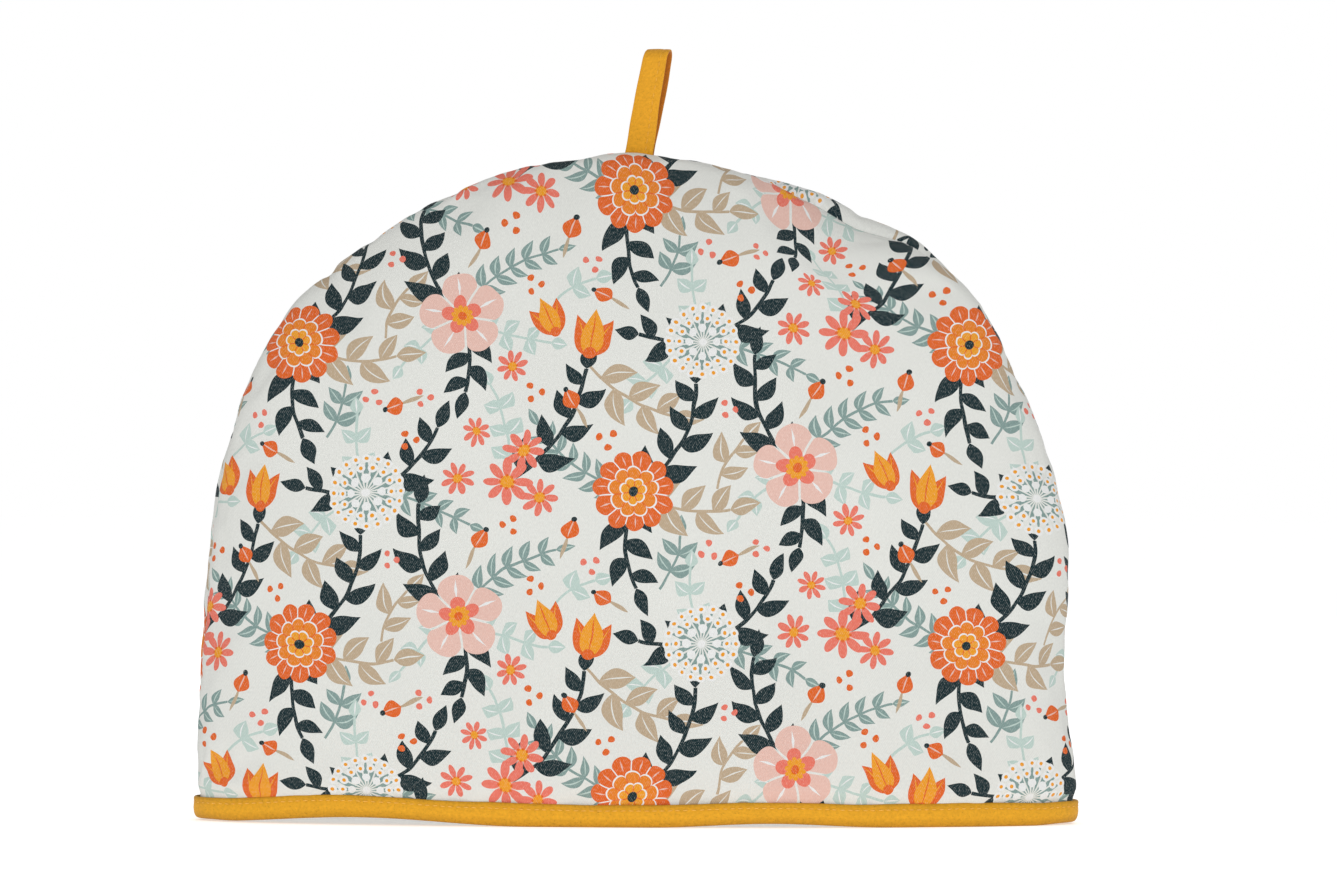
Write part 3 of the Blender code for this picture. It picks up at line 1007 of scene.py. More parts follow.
def mustard_cotton(name, colour, thread_degrees, crease_shades):
    """Plain-woven mustard tape: mottled dye, thicker threads, fine dark flecks, and painted shade that darkens
    it along given folds.
    """
    material, cloth, shader = new_cloth(name)
    place = cloth.cloth_place()
    unsteady = cloth.scaled(cloth.clouds(place, 0.5)[1], 0.5)
    weave = plain_weave(cloth, cloth.vector("ADD", place, unsteady), thread_degrees, TAPE_PITCH)
    dye = cloth.math("MULTIPLY_ADD", cloth.clouds(place, 0.16, 3.0)[0], DYE_DRIFT, DYE_LEAST)
    slubs = cloth.clouds(cloth.vector("MULTIPLY", place, (0.35, 2.2, 1.0)), 0.9, 1.0)[0]
    shade = cloth.math("ADD", dye, cloth.math("MULTIPLY_ADD", slubs, SLUBS, -0.5 * SLUBS))
    # Painted shade: near each given fold the colour is darkened where the tape would lie in shade.
    for crease_shade in crease_shades:
        across = cloth.vector("DOT_PRODUCT", place, crease_shade.axis, 1)
        off = cloth.math("ABSOLUTE", cloth.math("SUBTRACT", across, crease_shade.at))
        near = cloth.math("MAXIMUM", cloth.math("MULTIPLY_ADD", off, -1.0 / crease_shade.reach, 1.0), 0.0)
        shade = cloth.math("MULTIPLY_ADD", near, -crease_shade.darker, shade)
    mottled = cloth.math("MULTIPLY_ADD", cloth.clouds(place, 0.8, 2.0)[0], MOTTLES, -0.5 * MOTTLES)
    flecked = cloth.math("GREATER_THAN", cloth.clouds(place, 1.5, 1.0)[0], FLECKS_FROM)
    flecks = cloth.math("MULTIPLY", flecked, FLECKS)
    spotted = cloth.math("SUBTRACT", cloth.math("ADD", shade, mottled), flecks)
    grain = cloth.math("MULTIPLY_ADD", weave, TAPE_WEAVE, spotted)
    toned = cloth.vector("MULTIPLY", cloth.joined(grain, grain, grain), tuple(colour))
    finish_cloth(cloth, shader, toned, weave, 0.82, 0.06, 0.04 * MM)
    return material


def sewing_thread(name, colour):
    """Twisted thread with a slight gloss."""
    material, cloth, shader = new_cloth(name)
    place = cloth.scaled(cloth.add("ShaderNodeTexCoord").outputs["Object"], 1.0 / MM)
    twist = ribs(cloth, place, THREAD_TWIST, 0.3)
    tone = cloth.math("MULTIPLY_ADD", twist, 0.16, 0.9)
    toned = cloth.vector("MULTIPLY", cloth.joined(tone, tone, tone), tuple(colour))
    finish_cloth(cloth, shader, toned, twist, 0.6, 0.1, 0.04 * MM)
    return material


# ---------------------------------------------------------------------------------------------------
# Covers
# ---------------------------------------------------------------------------------------------------


def dome_depth(x, z):
    """Depth of the wall's middle at a place seen face on."""
    height = max(0.0, (z - PANEL_EDGE) / (SEAM_HEIGHT - PANEL_EDGE))
    inside = max(0.0, 1.0 - (x / HALF_WIDTH) ** 2 - height**OUTLINE_POWER)
    return HALF_DEPTH * (1.0 - TAPER * height**TAPER_POWER) * inside**ROUNDNESS


def laid_flat(x, z):
    """Where a place seen face on lies on the flat cloth: each ray from the middle of the hem is unrolled."""
    length = math.hypot(x, z)
    if length == 0.0:
        return (0.0, 0.0)
    laid = 0.0
    last_share, last_depth = 0.0, dome_depth(0.0, 0.0)
    for step in range(1, UNROLL_STEPS + 1):
        share = math.sin(0.5 * math.pi * step / UNROLL_STEPS)
        depth = dome_depth(x * share, z * share)
        laid += math.hypot(length * (share - last_share), depth - last_depth)
        last_share, last_depth = share, depth
    return (x * laid / length, z * laid / length)


def wall_middle(across, rise, side):
    """Point on the middle of the wall, as in the part's source."""
    u = math.sin(0.5 * math.pi * across)
    v = math.sin(0.5 * math.pi * rise**ROW_CROWDING) ** (0.5 * OUTLINE_POWER)
    height = (v * math.sqrt(1.0 - 0.5 * u * u)) ** (2.0 / OUTLINE_POWER)
    inside = max(0.0, (1.0 - u * u) * (1.0 - v * v))
    depth = HALF_DEPTH * (1.0 - TAPER * height**TAPER_POWER) * inside**ROUNDNESS
    return Vector(
        (
            HALF_WIDTH * u * math.sqrt(1.0 - 0.5 * v * v),
            side * (depth + 0.5 * PIECE_GAP),
            PANEL_EDGE + (SEAM_HEIGHT - PANEL_EDGE) * height,
        )
    )


def wall_normal(point, side):
    """Outward direction of the dome's surface at a point of it."""
    height = max(0.0, (point.z - PANEL_EDGE) / (SEAM_HEIGHT - PANEL_EDGE))
    thinning = 1.0 - TAPER * height**TAPER_POWER
    depth = max(0.0, abs(point.y) - 0.5 * PIECE_GAP) / (HALF_DEPTH * thinning)
    steepness = 1.0 / ROUNDNESS
    taper_slope = TAPER * TAPER_POWER * height ** (TAPER_POWER - 1.0) / thinning
    return Vector(
        (
            2.0 * point.x / HALF_WIDTH**2,
            side * steepness * depth ** (steepness - 1.0) / (HALF_DEPTH * thinning),
            (OUTLINE_POWER * height ** (OUTLINE_POWER - 1.0) + steepness * depth**steepness * taper_slope)
            / (SEAM_HEIGHT - PANEL_EDGE),
        )
    ).normalized()


def wall_thickness(point, pinch_reach):
    """The wadding is pinched flat where the covers are sewn and where the hem is bound."""
    above_binding = smooth((point.z - BINDING_HEIGHT) / pinch_reach)
    full = WALL_AT_HEM + (WALL - WALL_AT_HEM) * above_binding
    from_seam = smooth((abs(point.y) - 0.5 * PIECE_GAP) / SEAM_PINCH_REACH)
    return WALL_AT_SEAM + (full - WALL_AT_SEAM) * from_seam


def cover_relief(point, side, cover):
    """Fine shape of the outer cloth: the seam's valley, puckers at seam and binding, lumps of wadding."""
    from_seam = abs(point.y) - 0.5 * PIECE_GAP
    valley = cover.groove * (1.0 - min(1.0, from_seam / cover.groove_reach)) ** 2

    angle = math.atan2(point.z / SEAM_HEIGHT, point.x / HALF_WIDTH)
    along_seam = angle * SEAM_HEIGHT / cover.pucker_pitch
    seam_pucker = noise.noise(Vector((along_seam, 3.0 * side, 0.2 * from_seam / cover.pucker_pitch)))
    at_seam = smooth(from_seam / (2.0 * MM)) * (1.0 - smooth(from_seam / SEAM_PUCKERS_END))

    above = point.z - BINDING_HEIGHT
    along_hem = (point.x + point.y) / cover.pucker_pitch
    hem_pucker = noise.noise(Vector((along_hem, 9.0 * side, 0.2 * above / cover.pucker_pitch)))
    at_hem = smooth(above / (3.0 * MM)) * (1.0 - smooth(above / HEM_PUCKERS_END))

    lump = noise.fractal(point / LUMP_SIZE + Vector((5.0 * side, 0.0, 0.0)), 1.0, 2.0, 2)
    whole = smooth(from_seam / LUMPS_FADE) * smooth(above / LUMPS_FADE)
    return (
        2.0 * cover.pucker * (seam_pucker * at_seam + hem_pucker * at_hem)
        + cover.lump * lump * whole
        - valley * smooth(above / (4.0 * MM) + 1.0)
    )


def cloth_point(middle, side, outward, cover):
    """Where a cover's outer or inner cloth lies over or under a point of the wall's middle."""
    reach = outward * wall_thickness(middle, cover.puff_reach if outward > 0.0 else HEM_PINCH_REACH)
    if outward > 0.0:
        reach += cover_relief(middle, side, cover)
    place = middle + wall_normal(middle, side) * reach
    sewn = 1.0 - smooth((abs(middle.y) - 0.5 * PIECE_GAP) / (0.5 * MM))
    place.y -= side * 0.5 * PIECE_GAP * sewn
    return settled(place)


def finer(line):
    """A line of vectors with one more between each two, on a smooth curve."""
    made = [line[0]]
    for index in range(1, len(line)):
        before, after = line[max(0, index - 2)], line[min(len(line) - 1, index + 1)]
        middle = (9.0 * (line[index - 1] + line[index]) - before - after) / 16.0
        made += [middle, line[index]]
    return made


def settling(side, cover):
    """How each point of the outer cloth moves as wadding swells under it and the sewn edges hold it.

    Blender's cloth simulation, on a sheet with half the cover's columns and rows.
    """
    columns, rows = COVER_COLUMNS // 2, COVER_ROWS // 2
    mesh = bmesh.new()
    made = bmesh.ops.create_grid(mesh, x_segments=columns, y_segments=rows, size=1.0)["verts"]
    for vertex in made:
        vertex.co = cloth_point(wall_middle(vertex.co.x, 0.5 * (vertex.co.y + 1.0), side), side, 0.5, cover)
    mesh.normal_update()
    if sum(vertex.normal.y for vertex in made) * side < 0.0:
        bmesh.ops.reverse_faces(mesh, faces=mesh.faces)
    held = [vertex.index for vertex in made if vertex.is_boundary or vertex.co.z < BINDING_HEIGHT + 0.5 * MM]
    start = [vertex.co.copy() for vertex in made]
    sheet = linked("settling_sheet", mesh, [])
    sheet.vertex_groups.new(name="held").add(held, 1.0, "REPLACE")
    cloth = sheet.modifiers.new("cloth", "CLOTH")
    cloth.collision_settings.use_collision = False
    cloth.point_cache.frame_start, cloth.point_cache.frame_end = 1, SETTLING_FRAMES
    fabric = cloth.settings
    fabric.vertex_group_mass = "held"
    fabric.quality = 6
    fabric.mass = 0.3
    fabric.tension_stiffness = fabric.compression_stiffness = 15.0
    fabric.shear_stiffness = 5.0
    fabric.bending_stiffness = cover.stiffness
    fabric.use_pressure = True
    fabric.uniform_pressure_force = cover.swell
    fabric.shrink_min = -cover.ease
    fabric.effector_weights.gravity = 0.0
    scene = bpy.context.scene
    for frame_number in range(1, SETTLING_FRAMES + 1):
        scene.frame_set(frame_number)
    settled_mesh = sheet.evaluated_get(bpy.context.evaluated_depsgraph_get()).data
    moves = []
    for vertex, from_place in zip(settled_mesh.vertices, start):
        move = vertex.co - from_place
        moves.append(move / (1.0 + move.length / cover.most_move))
    left_over = sheet.data
    bpy.data.objects.remove(sheet)
    bpy.data.meshes.remove(left_over)
    scene.frame_set(1)
    lines = [finer(moves[row * (columns + 1) : (row + 1) * (columns + 1)]) for row in range(rows + 1)]
    return [finer(list(column)) for column in zip(*lines)]


def cover_face(mesh, side, outward, cover, flat):
    """Adds one face of a cover as a grid, and notes where each point lies on the flat cloth."""
    made = bmesh.ops.create_grid(mesh, x_segments=COVER_COLUMNS, y_segments=COVER_ROWS, size=1.0)["verts"]
    moves = settling(side, cover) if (outward > 0.0) else None
    for vertex in made:
        across, rise = vertex.co.x, 0.5 * (vertex.co.y + 1.0)
        middle = wall_middle(across, rise, side)
        flat[vertex] = laid_flat(middle.x, middle.z)
        vertex.co = cloth_point(middle, side, outward, cover)
        if moves:
            vertex.co += moves[round(0.5 * (across + 1.0) * COVER_COLUMNS)][round(rise * COVER_ROWS)]
    return {face for vertex in made for face in vertex.link_faces}


def linked(name, mesh, materials):
    """Turns a bmesh into a smooth-shaded object with its materials."""
    data = bpy.data.meshes.new(name)
    mesh.to_mesh(data)
    mesh.free()
    for material in materials:
        data.materials.append(material)
    made = bpy.data.objects.new(name, data)
    bpy.context.scene.collection.objects.link(made)
    data.shade_smooth()
    return made


def padded_cover(name, side, shift, settings, materials):
    """One wadded cover: printed outer face, plain inner face, and a rim along the seam and the hem."""
    mesh = bmesh.new()
    flat = {}
    cover_face(mesh, side, 0.5, settings.cover, flat)
    inner_faces = cover_face(mesh, side, -0.5, settings.cover, flat)
    rims = [edge for edge in mesh.edges if edge.is_boundary]
    bmesh.ops.bridge_loops(mesh, edges=rims)
    bmesh.ops.recalc_face_normals(mesh, faces=mesh.faces)
    cloth = mesh.loops.layers.uv.new("cloth")
    for face in mesh.faces:
        face.material_index = 1 if face in inner_faces else 0
        for loop in face.loops:
            u, v = flat[loop.vert]
            loop[cloth].uv = (-side * u + shift[0], v + shift[1])
    return linked(name, mesh, materials)


# ---------------------------------------------------------------------------------------------------
# Binding and loop
# ---------------------------------------------------------------------------------------------------


def hem_path(turn):
    """Point and outward direction of the wall's middle at the hem, once round as turn goes from 0 to 1."""

    def at(angle):
        depth = HALF_DEPTH * abs(math.cos(angle)) ** (2.0 * ROUNDNESS) + 0.5 * PIECE_GAP
        return Vector((HALF_WIDTH * math.sin(angle), -math.copysign(depth, math.cos(angle)), 0.0))

    angle = 2.0 * math.pi * turn
    nudge = 0.02
    along = (at(angle + nudge) - at(angle - nudge)).normalized()
    return at(angle), Vector((along.y, -along.x, 0.0))


def hem_lengths():
    """Length along the hem at evenly spaced turns, from 0 to the whole way round."""
    lengths = [0.0]
    last = hem_path(0.0)[0]
    for sample in range(1, HEM_SAMPLES + 1):
        point = hem_path(sample / HEM_SAMPLES)[0]
        lengths.append(lengths[-1] + (point - last).length)
        last = point
    return lengths


def length_at(lengths, turn):
    """Length along the hem at a turn from 0 to 1."""
    place = turn * HEM_SAMPLES
    low = min(int(place), HEM_SAMPLES - 1)
    return lengths[low] + (lengths[low + 1] - lengths[low]) * (place - low)


def turn_at(lengths, length):
    """Turn from 0 to 1 at a length along the hem."""
    low, high = 0.0, 1.0
    for _ in range(22):
        middle = 0.5 * (low + high)
        if length_at(lengths, middle) < length:
            low = middle
        else:
            high = middle
    return low


def round_noise(share, laps, seed):
    """Noise that meets itself after a whole round."""
    angle = 2.0 * math.pi * share
    radius = laps / (2.0 * math.pi)
    return noise.noise(Vector((radius * math.cos(angle), radius * math.sin(angle), seed)))


def binding_point(away, height, turn, share, stitches, ripple):
    """A point of the folded tape: away from the wall's middle, at a height, at a turn round the hem."""
    outer = math.copysign(1.0, away)
    face = smooth((abs(away) - 0.5 * WALL_AT_HEM - PIECE_GAP) / (0.5 * MM))
    stitched = bump(height - STITCH_LINE, STITCH_PULL_REACH) * face
    pull = STITCH_PULL * math.cos(2.0 * math.pi * share * stitches) * stitched
    wave = ripple * round_noise(share, RIPPLES_ROUND, 2.0 + outer + height / (7.0 * MM)) * face
    point, outward = hem_path(turn)
    uneven = EDGE_WAVE_MM * round_noise(share, EDGE_WAVES_ROUND, 8.0 + outer)
    for rise in BINDING_RISES:
        from_seam = smooth(rise.side * point.y / FRONT_REACH)
        uneven += bump(point.x - rise.crest_x_mm * MM, rise.half_length_mm * MM) * rise.lift_mm * from_seam
    edge = uneven * MM * smooth(height / BINDING_HEIGHT)
    return settled(point + outward * (away + outer * (wave + pull)) + Vector((0.0, 0.0, height + edge)))


def binding_section():
    """The folded tape's section as (distance from the wall's middle, height), once round from the table."""
    inner = 0.5 * WALL_AT_HEM + PIECE_GAP
    outer_half = [(inner + corner.out_mm * MM, corner.height_mm * MM) for corner in BINDING_SECTION]
    return outer_half + [(-away, height) for away, height in reversed(outer_half)]


def section_lengths(section):
    """Length round a closed section at each of its points, and the whole length last."""
    lengths = [0.0]
    for (x, y), (next_x, next_y) in zip(section, section[1:] + section[:1]):
        lengths.append(lengths[-1] + math.hypot(next_x - x, next_y - y))
    return lengths


def binding_tape(settings, material):
    """A ring of folded tape round the hem, puckered by its stitches."""
    section = binding_section()
    around = section_lengths(section)
    lengths = hem_lengths()
    mesh = bmesh.new()
    bmesh.ops.create_grid(mesh, x_segments=BINDING_STEPS, y_segments=len(section), size=1.0)
    cloth = mesh.loops.layers.uv.new("cloth")
    for face in mesh.faces:
        for loop in face.loops:
            turn = 0.5 * (loop.vert.co.x + 1.0)
            corner = round(0.5 * (loop.vert.co.y + 1.0) * len(section))
            loop[cloth].uv = (length_at(lengths, turn), around[corner])
    for vertex in mesh.verts:
        step = round(0.5 * (vertex.co.x + 1.0) * BINDING_STEPS) % BINDING_STEPS
        corner = round(0.5 * (vertex.co.y + 1.0) * len(section)) % len(section)
        away, height = section[corner]
        turn = step / BINDING_STEPS
        share = length_at(lengths, turn) / lengths[-1]
        vertex.co = binding_point(away, height, turn, share, settings.stitches, settings.ripple)
    bmesh.ops.remove_doubles(mesh, verts=mesh.verts, dist=0.005 * MM)
    bmesh.ops.recalc_face_normals(mesh, faces=mesh.faces)
    return linked("binding_tape", mesh, [material]), lengths[-1], around[-1]


def add_stitch(mesh, middle, along, out, length, size):
    """Adds one stitch: a short length of thread, half sunk in the cloth."""
    aside = along.cross(out).normalized()
    out = aside.cross(along).normalized()
    turned = Matrix((along, aside, out)).transposed().to_4x4()
    shape = Matrix.Translation(middle) @ turned @ Matrix.Diagonal((length, size, 0.8 * size, 1.0))
    bmesh.ops.create_uvsphere(mesh, u_segments=6, v_segments=4, radius=0.5, matrix=shape)


def binding_topstitch(settings, material):
    """The row of stitches round the binding, outside and inside."""
    lengths = hem_lengths()
    uneven = random.Random(11)
    mesh = bmesh.new()
    pitch = lengths[-1] / settings.stitches
    groove = next(corner.out_mm for corner in BINDING_SECTION if corner.height_mm * MM == STITCH_LINE)
    face = 0.5 * WALL_AT_HEM + PIECE_GAP + groove * MM
    for outer in (1.0, -1.0):
        for stitch in range(settings.stitches):
            slip = uneven.uniform(-STITCH_SLIP, STITCH_SLIP)
            tilt = uneven.uniform(-STITCH_SLIP, STITCH_SLIP) * MM
            ends = []
            for end, rise in ((-0.5, -tilt), (0.5, tilt)):
                length = (stitch + 0.5 + slip * 0.5) * pitch + end * settings.stitch
                turn = turn_at(lengths, length % lengths[-1])
                share = (length % lengths[-1]) / lengths[-1]
                height = STITCH_LINE + rise
                ends.append(
                    binding_point(outer * face, height, turn, share, settings.stitches, settings.ripple)
                )
            along = (ends[1] - ends[0]).normalized()
            out = hem_path(turn)[1] * outer
            middle = 0.5 * (ends[0] + ends[1]) + out * 0.22 * settings.thread_size
            add_stitch(mesh, middle, along, out, settings.stitch, settings.thread_size)
    return linked("binding_topstitch", mesh, [material])


def loop_line(sink):
    """The loop's tape as points and outward directions in its own Y and Z, from root over fold to root."""
    half = [(LOOP_ROOT_HALF_GAP, -sink)]
    fold_height = LOOP_RISE - LOOP_FOLD_RISE
    for step in range(LOOP_LEG_STEPS + 1):
        share = step / LOOP_LEG_STEPS
        spread = LOOP_BELLY - LOOP_ROOT_HALF_GAP
        half.append((LOOP_ROOT_HALF_GAP + spread * smooth(share / LOOP_BELLY_AT), fold_height * share))
    for step in range(1, LOOP_FOLD_STEPS + 1):
        angle = 0.5 * math.pi * step / LOOP_FOLD_STEPS
        half.append((LOOP_BELLY * math.cos(angle), fold_height + LOOP_FOLD_RISE * math.sin(angle)))
    line = [Vector((0.0, -y, z)) for y, z in half] + [Vector((0.0, y, z)) for y, z in reversed(half[:-1])]
    outs = []
    for index in range(len(line)):
        ahead = line[min(index + 1, len(line) - 1)] - line[max(index - 1, 0)]
        outs.append(Vector((0.0, -ahead.z, ahead.y)).normalized())
    return line, outs


def tapered(point):
    """A point of the loop, whose tape cups a little and so narrows towards its fold."""
    share = LOOP_ROOT_SPREAD - LOOP_TAPER * point.z / LOOP_RISE
    return Vector((point.x * share, point.y, point.z))


def loop_placed():
    """Where the loop's own frame stands on the ridge."""
    leaning = Matrix.Shear("XY", 4, (LOOP_LEAN / LOOP_RISE, 0.0))
    ridge = settled((LOOP_ROOT_X, 0.0, SEAM_HEIGHT + 0.5 * WALL_AT_SEAM))
    root = ridge + Vector((0.0, 0.0, PIECE_GAP + LOOP_ROOT_CLEARANCE))
    return Matrix.Translation(root) @ Matrix.Rotation(LOOP_TURN, 4, "Z") @ leaning


def loop_tape(settings, materials):
    """Doubled tape, folded along its left edge and sewn along its right, drawn over the loop's line."""
    line, outs = loop_line(settings.sink)
    half = [(corner.out_mm * MM, corner.height_mm * MM) for corner in LOOP_SECTION]
    section = half + [(x, -thick) for x, thick in reversed(half[1:])]
    around = section_lengths(section)
    along = [0.0]
    for point, following in zip(line, line[1:]):
        along.append(along[-1] + (following - point).length)
    mesh = bmesh.new()
    steps = len(line) - 1
    bmesh.ops.create_grid(mesh, x_segments=steps, y_segments=len(section), size=1.0)
    cloth = mesh.loops.layers.uv.new("cloth")
    for face in mesh.faces:
        for loop in face.loops:
            step = round(0.5 * (loop.vert.co.x + 1.0) * steps)
            corner = round(0.5 * (loop.vert.co.y + 1.0) * len(section))
            loop[cloth].uv = (around[corner], along[step])
        middle_corner = 0.5 * (face.calc_center_median().y + 1.0) * len(section)
        # Faces on the tape's side that looks into the loop get the darker colour of painted shade.
        face.material_index = 1 if middle_corner > len(half) - 0.9 else 0
    for vertex in mesh.verts:
        step = round(0.5 * (vertex.co.x + 1.0) * steps)
        corner = round(0.5 * (vertex.co.y + 1.0) * len(section)) % len(section)
        x, thick = section[corner]
        sway = LOOP_SWAY * noise.noise(Vector((along[step] / (9.0 * MM), 4.0, x / (8.0 * MM))))
        pulled = math.cos(2.0 * math.pi * along[step] / LOOP_DIMPLE_PITCH) * bump(x - LOOP_STITCH_LINE, MM)
        dimple = 1.0 + LOOP_DIMPLE * pulled
        vertex.co = tapered(line[step] + outs[step] * (thick * dimple + sway) + Vector((x + sway, 0.0, 0.0)))
    bmesh.ops.remove_doubles(mesh, verts=mesh.verts, dist=0.005 * MM)
    ends = [edge for edge in mesh.edges if edge.is_boundary]
    bmesh.ops.holes_fill(mesh, edges=ends, sides=0)
    bmesh.ops.transform(mesh, matrix=loop_placed(), verts=mesh.verts)
    bmesh.ops.recalc_face_normals(mesh, faces=mesh.faces)
    return linked("loop_tape", mesh, materials), along[-1], around[-1]


def loop_stitching(settings, binding, material):
    """The row of stitches near the loop's right edge, on both faces of the tape."""
    line, outs = loop_line(settings.sink)
    along = [0.0]
    for point, following in zip(line, line[1:]):
        along.append(along[-1] + (following - point).length)
    uneven = random.Random(5)
    placed = loop_placed()
    mesh = bmesh.new()
    count = int((along[-1] - 2.0 * settings.sink) / binding.pitch)
    face = next(corner.height_mm for corner in LOOP_SECTION if corner.out_mm * MM == LOOP_STITCH_LINE) * MM

    def at(length, side, x):
        last = len(along) - 1
        step = next(index for index in range(1, last + 1) if along[index] >= length or index == last)
        share = (length - along[step - 1]) / (along[step] - along[step - 1])
        point = line[step - 1].lerp(line[step], share)
        return placed @ tapered(point + outs[step] * side * face + Vector((x, 0.0, 0.0)))

    for side in (1.0, -1.0):
        for stitch in range(count):
            middle = settings.sink + (stitch + 0.5) * binding.pitch
            tilt = uneven.uniform(-STITCH_SLIP, STITCH_SLIP) * MM
            low = at(middle - 0.5 * binding.stitch, side, LOOP_STITCH_LINE - tilt)
            high = at(middle + 0.5 * binding.stitch, side, LOOP_STITCH_LINE + tilt)
            inner = at(middle, 0.0, LOOP_STITCH_LINE)
            out = (0.5 * (low + high) - inner).normalized()
            centre = 0.5 * (low + high) + out * 0.2 * settings.thread_size
            add_stitch(mesh, centre, (high - low).normalized(), out, binding.stitch, settings.thread_size)
    return linked("loop_stitching", mesh, [material])


# ---------------------------------------------------------------------------------------------------
# Operators
# ---------------------------------------------------------------------------------------------------


class TEA_COSY_OT_covers(bpy.types.Operator):
    """Make the printed, padded front and back covers"""

    bl_idname = "tea_cosy.covers"
    bl_label = "Covers"

    def execute(self, context):
        settings = context.scene.tea_cosy
        materials = [printed_cotton(settings.print_), lining_cotton(settings.print_)]
        for name, side, shift, node in (
            ("cover_front", -1, (0.031, 0.018), "panel_front"),
            ("cover_back", 1, (0.117, 0.074), "panel_back"),
        ):
            made = padded_cover(name, side, shift, settings, materials)
            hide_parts(node)
            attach(made, "root")
        return {"FINISHED"}


class TEA_COSY_OT_binding(bpy.types.Operator):
    """Make the folded hem binding and its topstitching"""

    bl_idname = "tea_cosy.binding"
    bl_label = "Hem binding"

    def execute(self, context):
        settings = context.scene.tea_cosy.binding
        section = binding_section()
        heights = [height for _, height in section]
        lengths = section_lengths(section)
        top = lengths[heights.index(max(heights))] / MM
        whole = lengths[-1] / MM
        # Painted shade along the binding: darker towards its bottom edge and along its upper edge, each
        # outside and inside.
        folds = ((0.0, 5.2, 0.55), (top, 3.2, 0.32), (whole - top, 3.2, 0.32), (whole, 5.2, 0.55))
        crease_shades = [CreaseShade((0.0, 1.0, 0.0), *fold) for fold in folds]
        cotton = mustard_cotton("mustard_binding", settings.colour, 45.0, crease_shades)
        tape, length, around = binding_tape(settings, cotton)
        stitches = binding_topstitch(settings, sewing_thread("binding_thread", settings.thread))
        for piece in (tape, stitches):
            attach(piece, "root")
        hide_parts("hem_binding")
        return {"FINISHED"}


class TEA_COSY_OT_loop(bpy.types.Operator):
    """Make the hanging loop and its row of stitches"""

    bl_idname = "tea_cosy.loop"
    bl_label = "Hanging loop"

    def execute(self, context):
        settings = context.scene.tea_cosy
        line, _ = loop_line(settings.loop.sink)
        whole = sum((following - point).length for point, following in zip(line, line[1:])) / MM
        # Painted shade along the fold at the loop's top.
        fold = [CreaseShade((0.0, 1.0, 0.0), 0.5 * whole, 1.2, 0.3)]
        # The second material paints shade on the tape's side that looks into the loop.
        cottons = [
            mustard_cotton("mustard_tape", settings.loop.colour, 0.0, fold),
            mustard_cotton("mustard_tape_inside", settings.loop.inside, 0.0, ()),
        ]
        tape, length, around = loop_tape(settings.loop, cottons)
        thread = sewing_thread("loop_thread", settings.loop.thread)
        stitches = loop_stitching(settings.loop, settings.binding, thread)
        for piece in (tape, stitches):
            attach(piece, "root")
        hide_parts("hanging_loop")
        return {"FINISHED"}


class Light(NamedTuple):
    """A soft light: where it stands, its width in metres and its power in watts."""

    name: str
    place: tuple
    size: float
    power: float


LIGHTS = (
    Light("key_light", (0.05, -2.6, 0.75), 1.0, 20.5),
    Light("back_light", (0.3, 2.6, 0.9), 1.2, 20.5),
)
LIGHTS_AIM = (0.0, 0.0, 0.12)
FLOOR_GREY = 0.9
FLOOR_REACH = 6.0


def pale_floor(grey, glow):
    """Matt white floor that glows a little, as a light table does."""
    made = bpy.data.materials.new("pale_floor")
    made.use_nodes = True
    shader = made.node_tree.nodes["Principled BSDF"]
    shader.inputs["Base Color"].default_value = (grey, grey, grey, 1.0)
    shader.inputs["Roughness"].default_value = 0.9
    shader.inputs["Specular IOR Level"].default_value = 0.0
    shader.inputs["Emission Color"].default_value = (1.0, 1.0, 1.0, 1.0)
    shader.inputs["Emission Strength"].default_value = glow
    return made


def soft_light(light):
    """Makes a large area light that points at the cosy."""
    data = bpy.data.lights.new(light.name, "AREA")
    data.shape = "SQUARE"
    data.size = light.size
    data.energy = light.power
    made = bpy.data.objects.new(light.name, data)
    bpy.context.scene.collection.objects.link(made)
    made.location = light.place
    made.rotation_euler = (Vector(LIGHTS_AIM) - made.location).to_track_quat("-Z", "Y").to_euler()


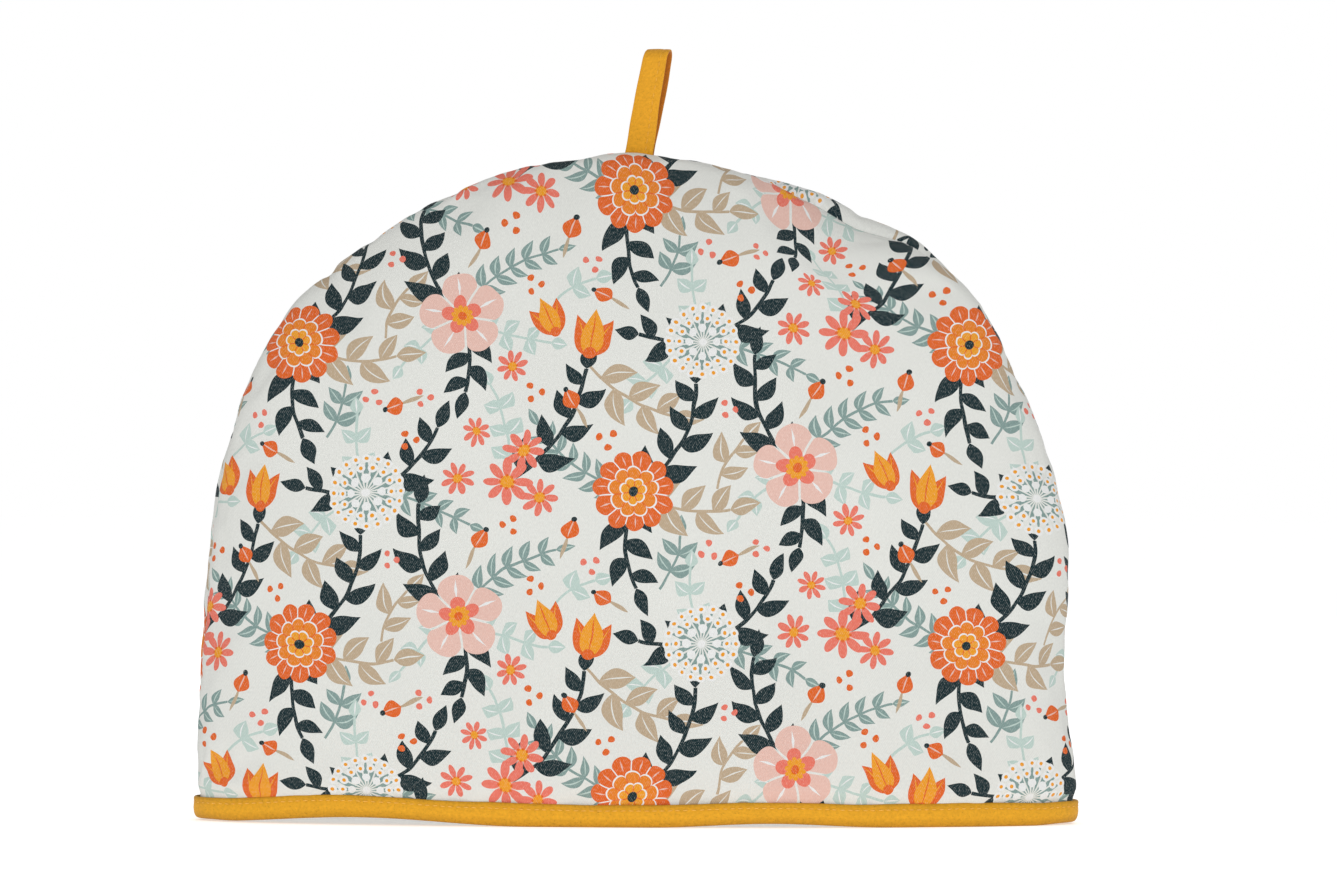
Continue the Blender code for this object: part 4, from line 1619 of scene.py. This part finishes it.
class TEA_COSY_OT_stage(bpy.types.Operator):
    """Make the floor, the soft light and the camera"""

    bl_idname = "tea_cosy.stage"
    bl_label = "Stage"

    def execute(self, context):
        settings = context.scene.tea_cosy.stage
        mesh = bmesh.new()
        bmesh.ops.create_grid(mesh, x_segments=1, y_segments=1, size=FLOOR_REACH)
        glow = 1.0 - FLOOR_GREY * settings.room_light
        floor = linked("floor", mesh, [pale_floor(FLOOR_GREY, glow)])

        world = bpy.data.worlds.new("studio")
        world.use_nodes = True
        background = world.node_tree.nodes["Background"]
        background.inputs["Color"].default_value = (1.0, 1.0, 1.0, 1.0)
        wiring = Weaver(world.node_tree)
        seen = wiring.add("ShaderNodeLightPath").outputs["Is Camera Ray"]
        spare = 1.0 - settings.room_light
        strength = wiring.math("MULTIPLY_ADD", seen, spare, settings.room_light)
        wiring.feed(background.inputs["Strength"], strength)
        context.scene.world = world
        for light in LIGHTS:
            soft_light(light)
        context.scene.view_settings.view_transform = "Standard"

        data = bpy.data.cameras.new("camera")
        data.sensor_width = 36.0
        data.lens = data.sensor_width * settings.distance / settings.frame_width
        data.clip_end = 50.0
        camera = bpy.data.objects.new("camera", data)
        context.scene.collection.objects.link(camera)
        back = Vector((0.0, -math.cos(settings.elevation), math.sin(settings.elevation)))
        aim = Vector((settings.aim_x, 0.0, settings.aim_z))
        level = (-back).to_track_quat("-Z", "Y").to_matrix().to_4x4()
        turned = level @ Matrix.Rotation(settings.roll, 4, "Z")
        camera.matrix_world = Matrix.Translation(aim + back * settings.distance) @ turned
        context.scene.camera = camera
        return {"FINISHED"}


class TEA_COSY_PT_pieces(bpy.types.Panel):
    """Sidebar panel with the cosy's settings and pieces"""

    bl_idname = "TEA_COSY_PT_pieces"
    bl_label = "Tea cosy"
    bl_space_type = "VIEW_3D"
    bl_region_type = "UI"
    bl_category = "Tea cosy"

    def draw(self, context):
        settings = context.scene.tea_cosy
        for group, operators in (
            (settings.cover, ()),
            (settings.print_, (TEA_COSY_OT_covers,)),
            (settings.binding, (TEA_COSY_OT_binding,)),
            (settings.loop, (TEA_COSY_OT_loop,)),
            (settings.stage, (TEA_COSY_OT_stage,)),
        ):
            box = self.layout.box()
            for name in group.bl_rna.properties.keys():
                if name not in {"rna_type", "name"}:
                    box.prop(group, name)
            for operator in operators:
                box.operator(operator.bl_idname)


OPERATORS = (TEA_COSY_OT_covers, TEA_COSY_OT_binding, TEA_COSY_OT_loop, TEA_COSY_OT_stage)
CLASSES = (
    CoverSettings,
    PrintSettings,
    BindingSettings,
    LoopSettings,
    StageSettings,
    CosySettings,
    *OPERATORS,
    TEA_COSY_PT_pieces,
)


def register():
    """Adds the classes and the scene's settings."""
    for made in CLASSES:
        bpy.utils.register_class(made)
    bpy.types.Scene.tea_cosy = PointerProperty(type=CosySettings)


def unregister():
    """Takes them away again."""
    del bpy.types.Scene.tea_cosy
    for made in reversed(CLASSES):
        bpy.utils.unregister_class(made)


def main():
    """Builds the whole cosy and its stage."""
    register()
    bpy.ops.tea_cosy.covers()
    bpy.ops.tea_cosy.binding()
    bpy.ops.tea_cosy.loop()
    bpy.ops.tea_cosy.stage()


if __name__ == "__main__":
    main()
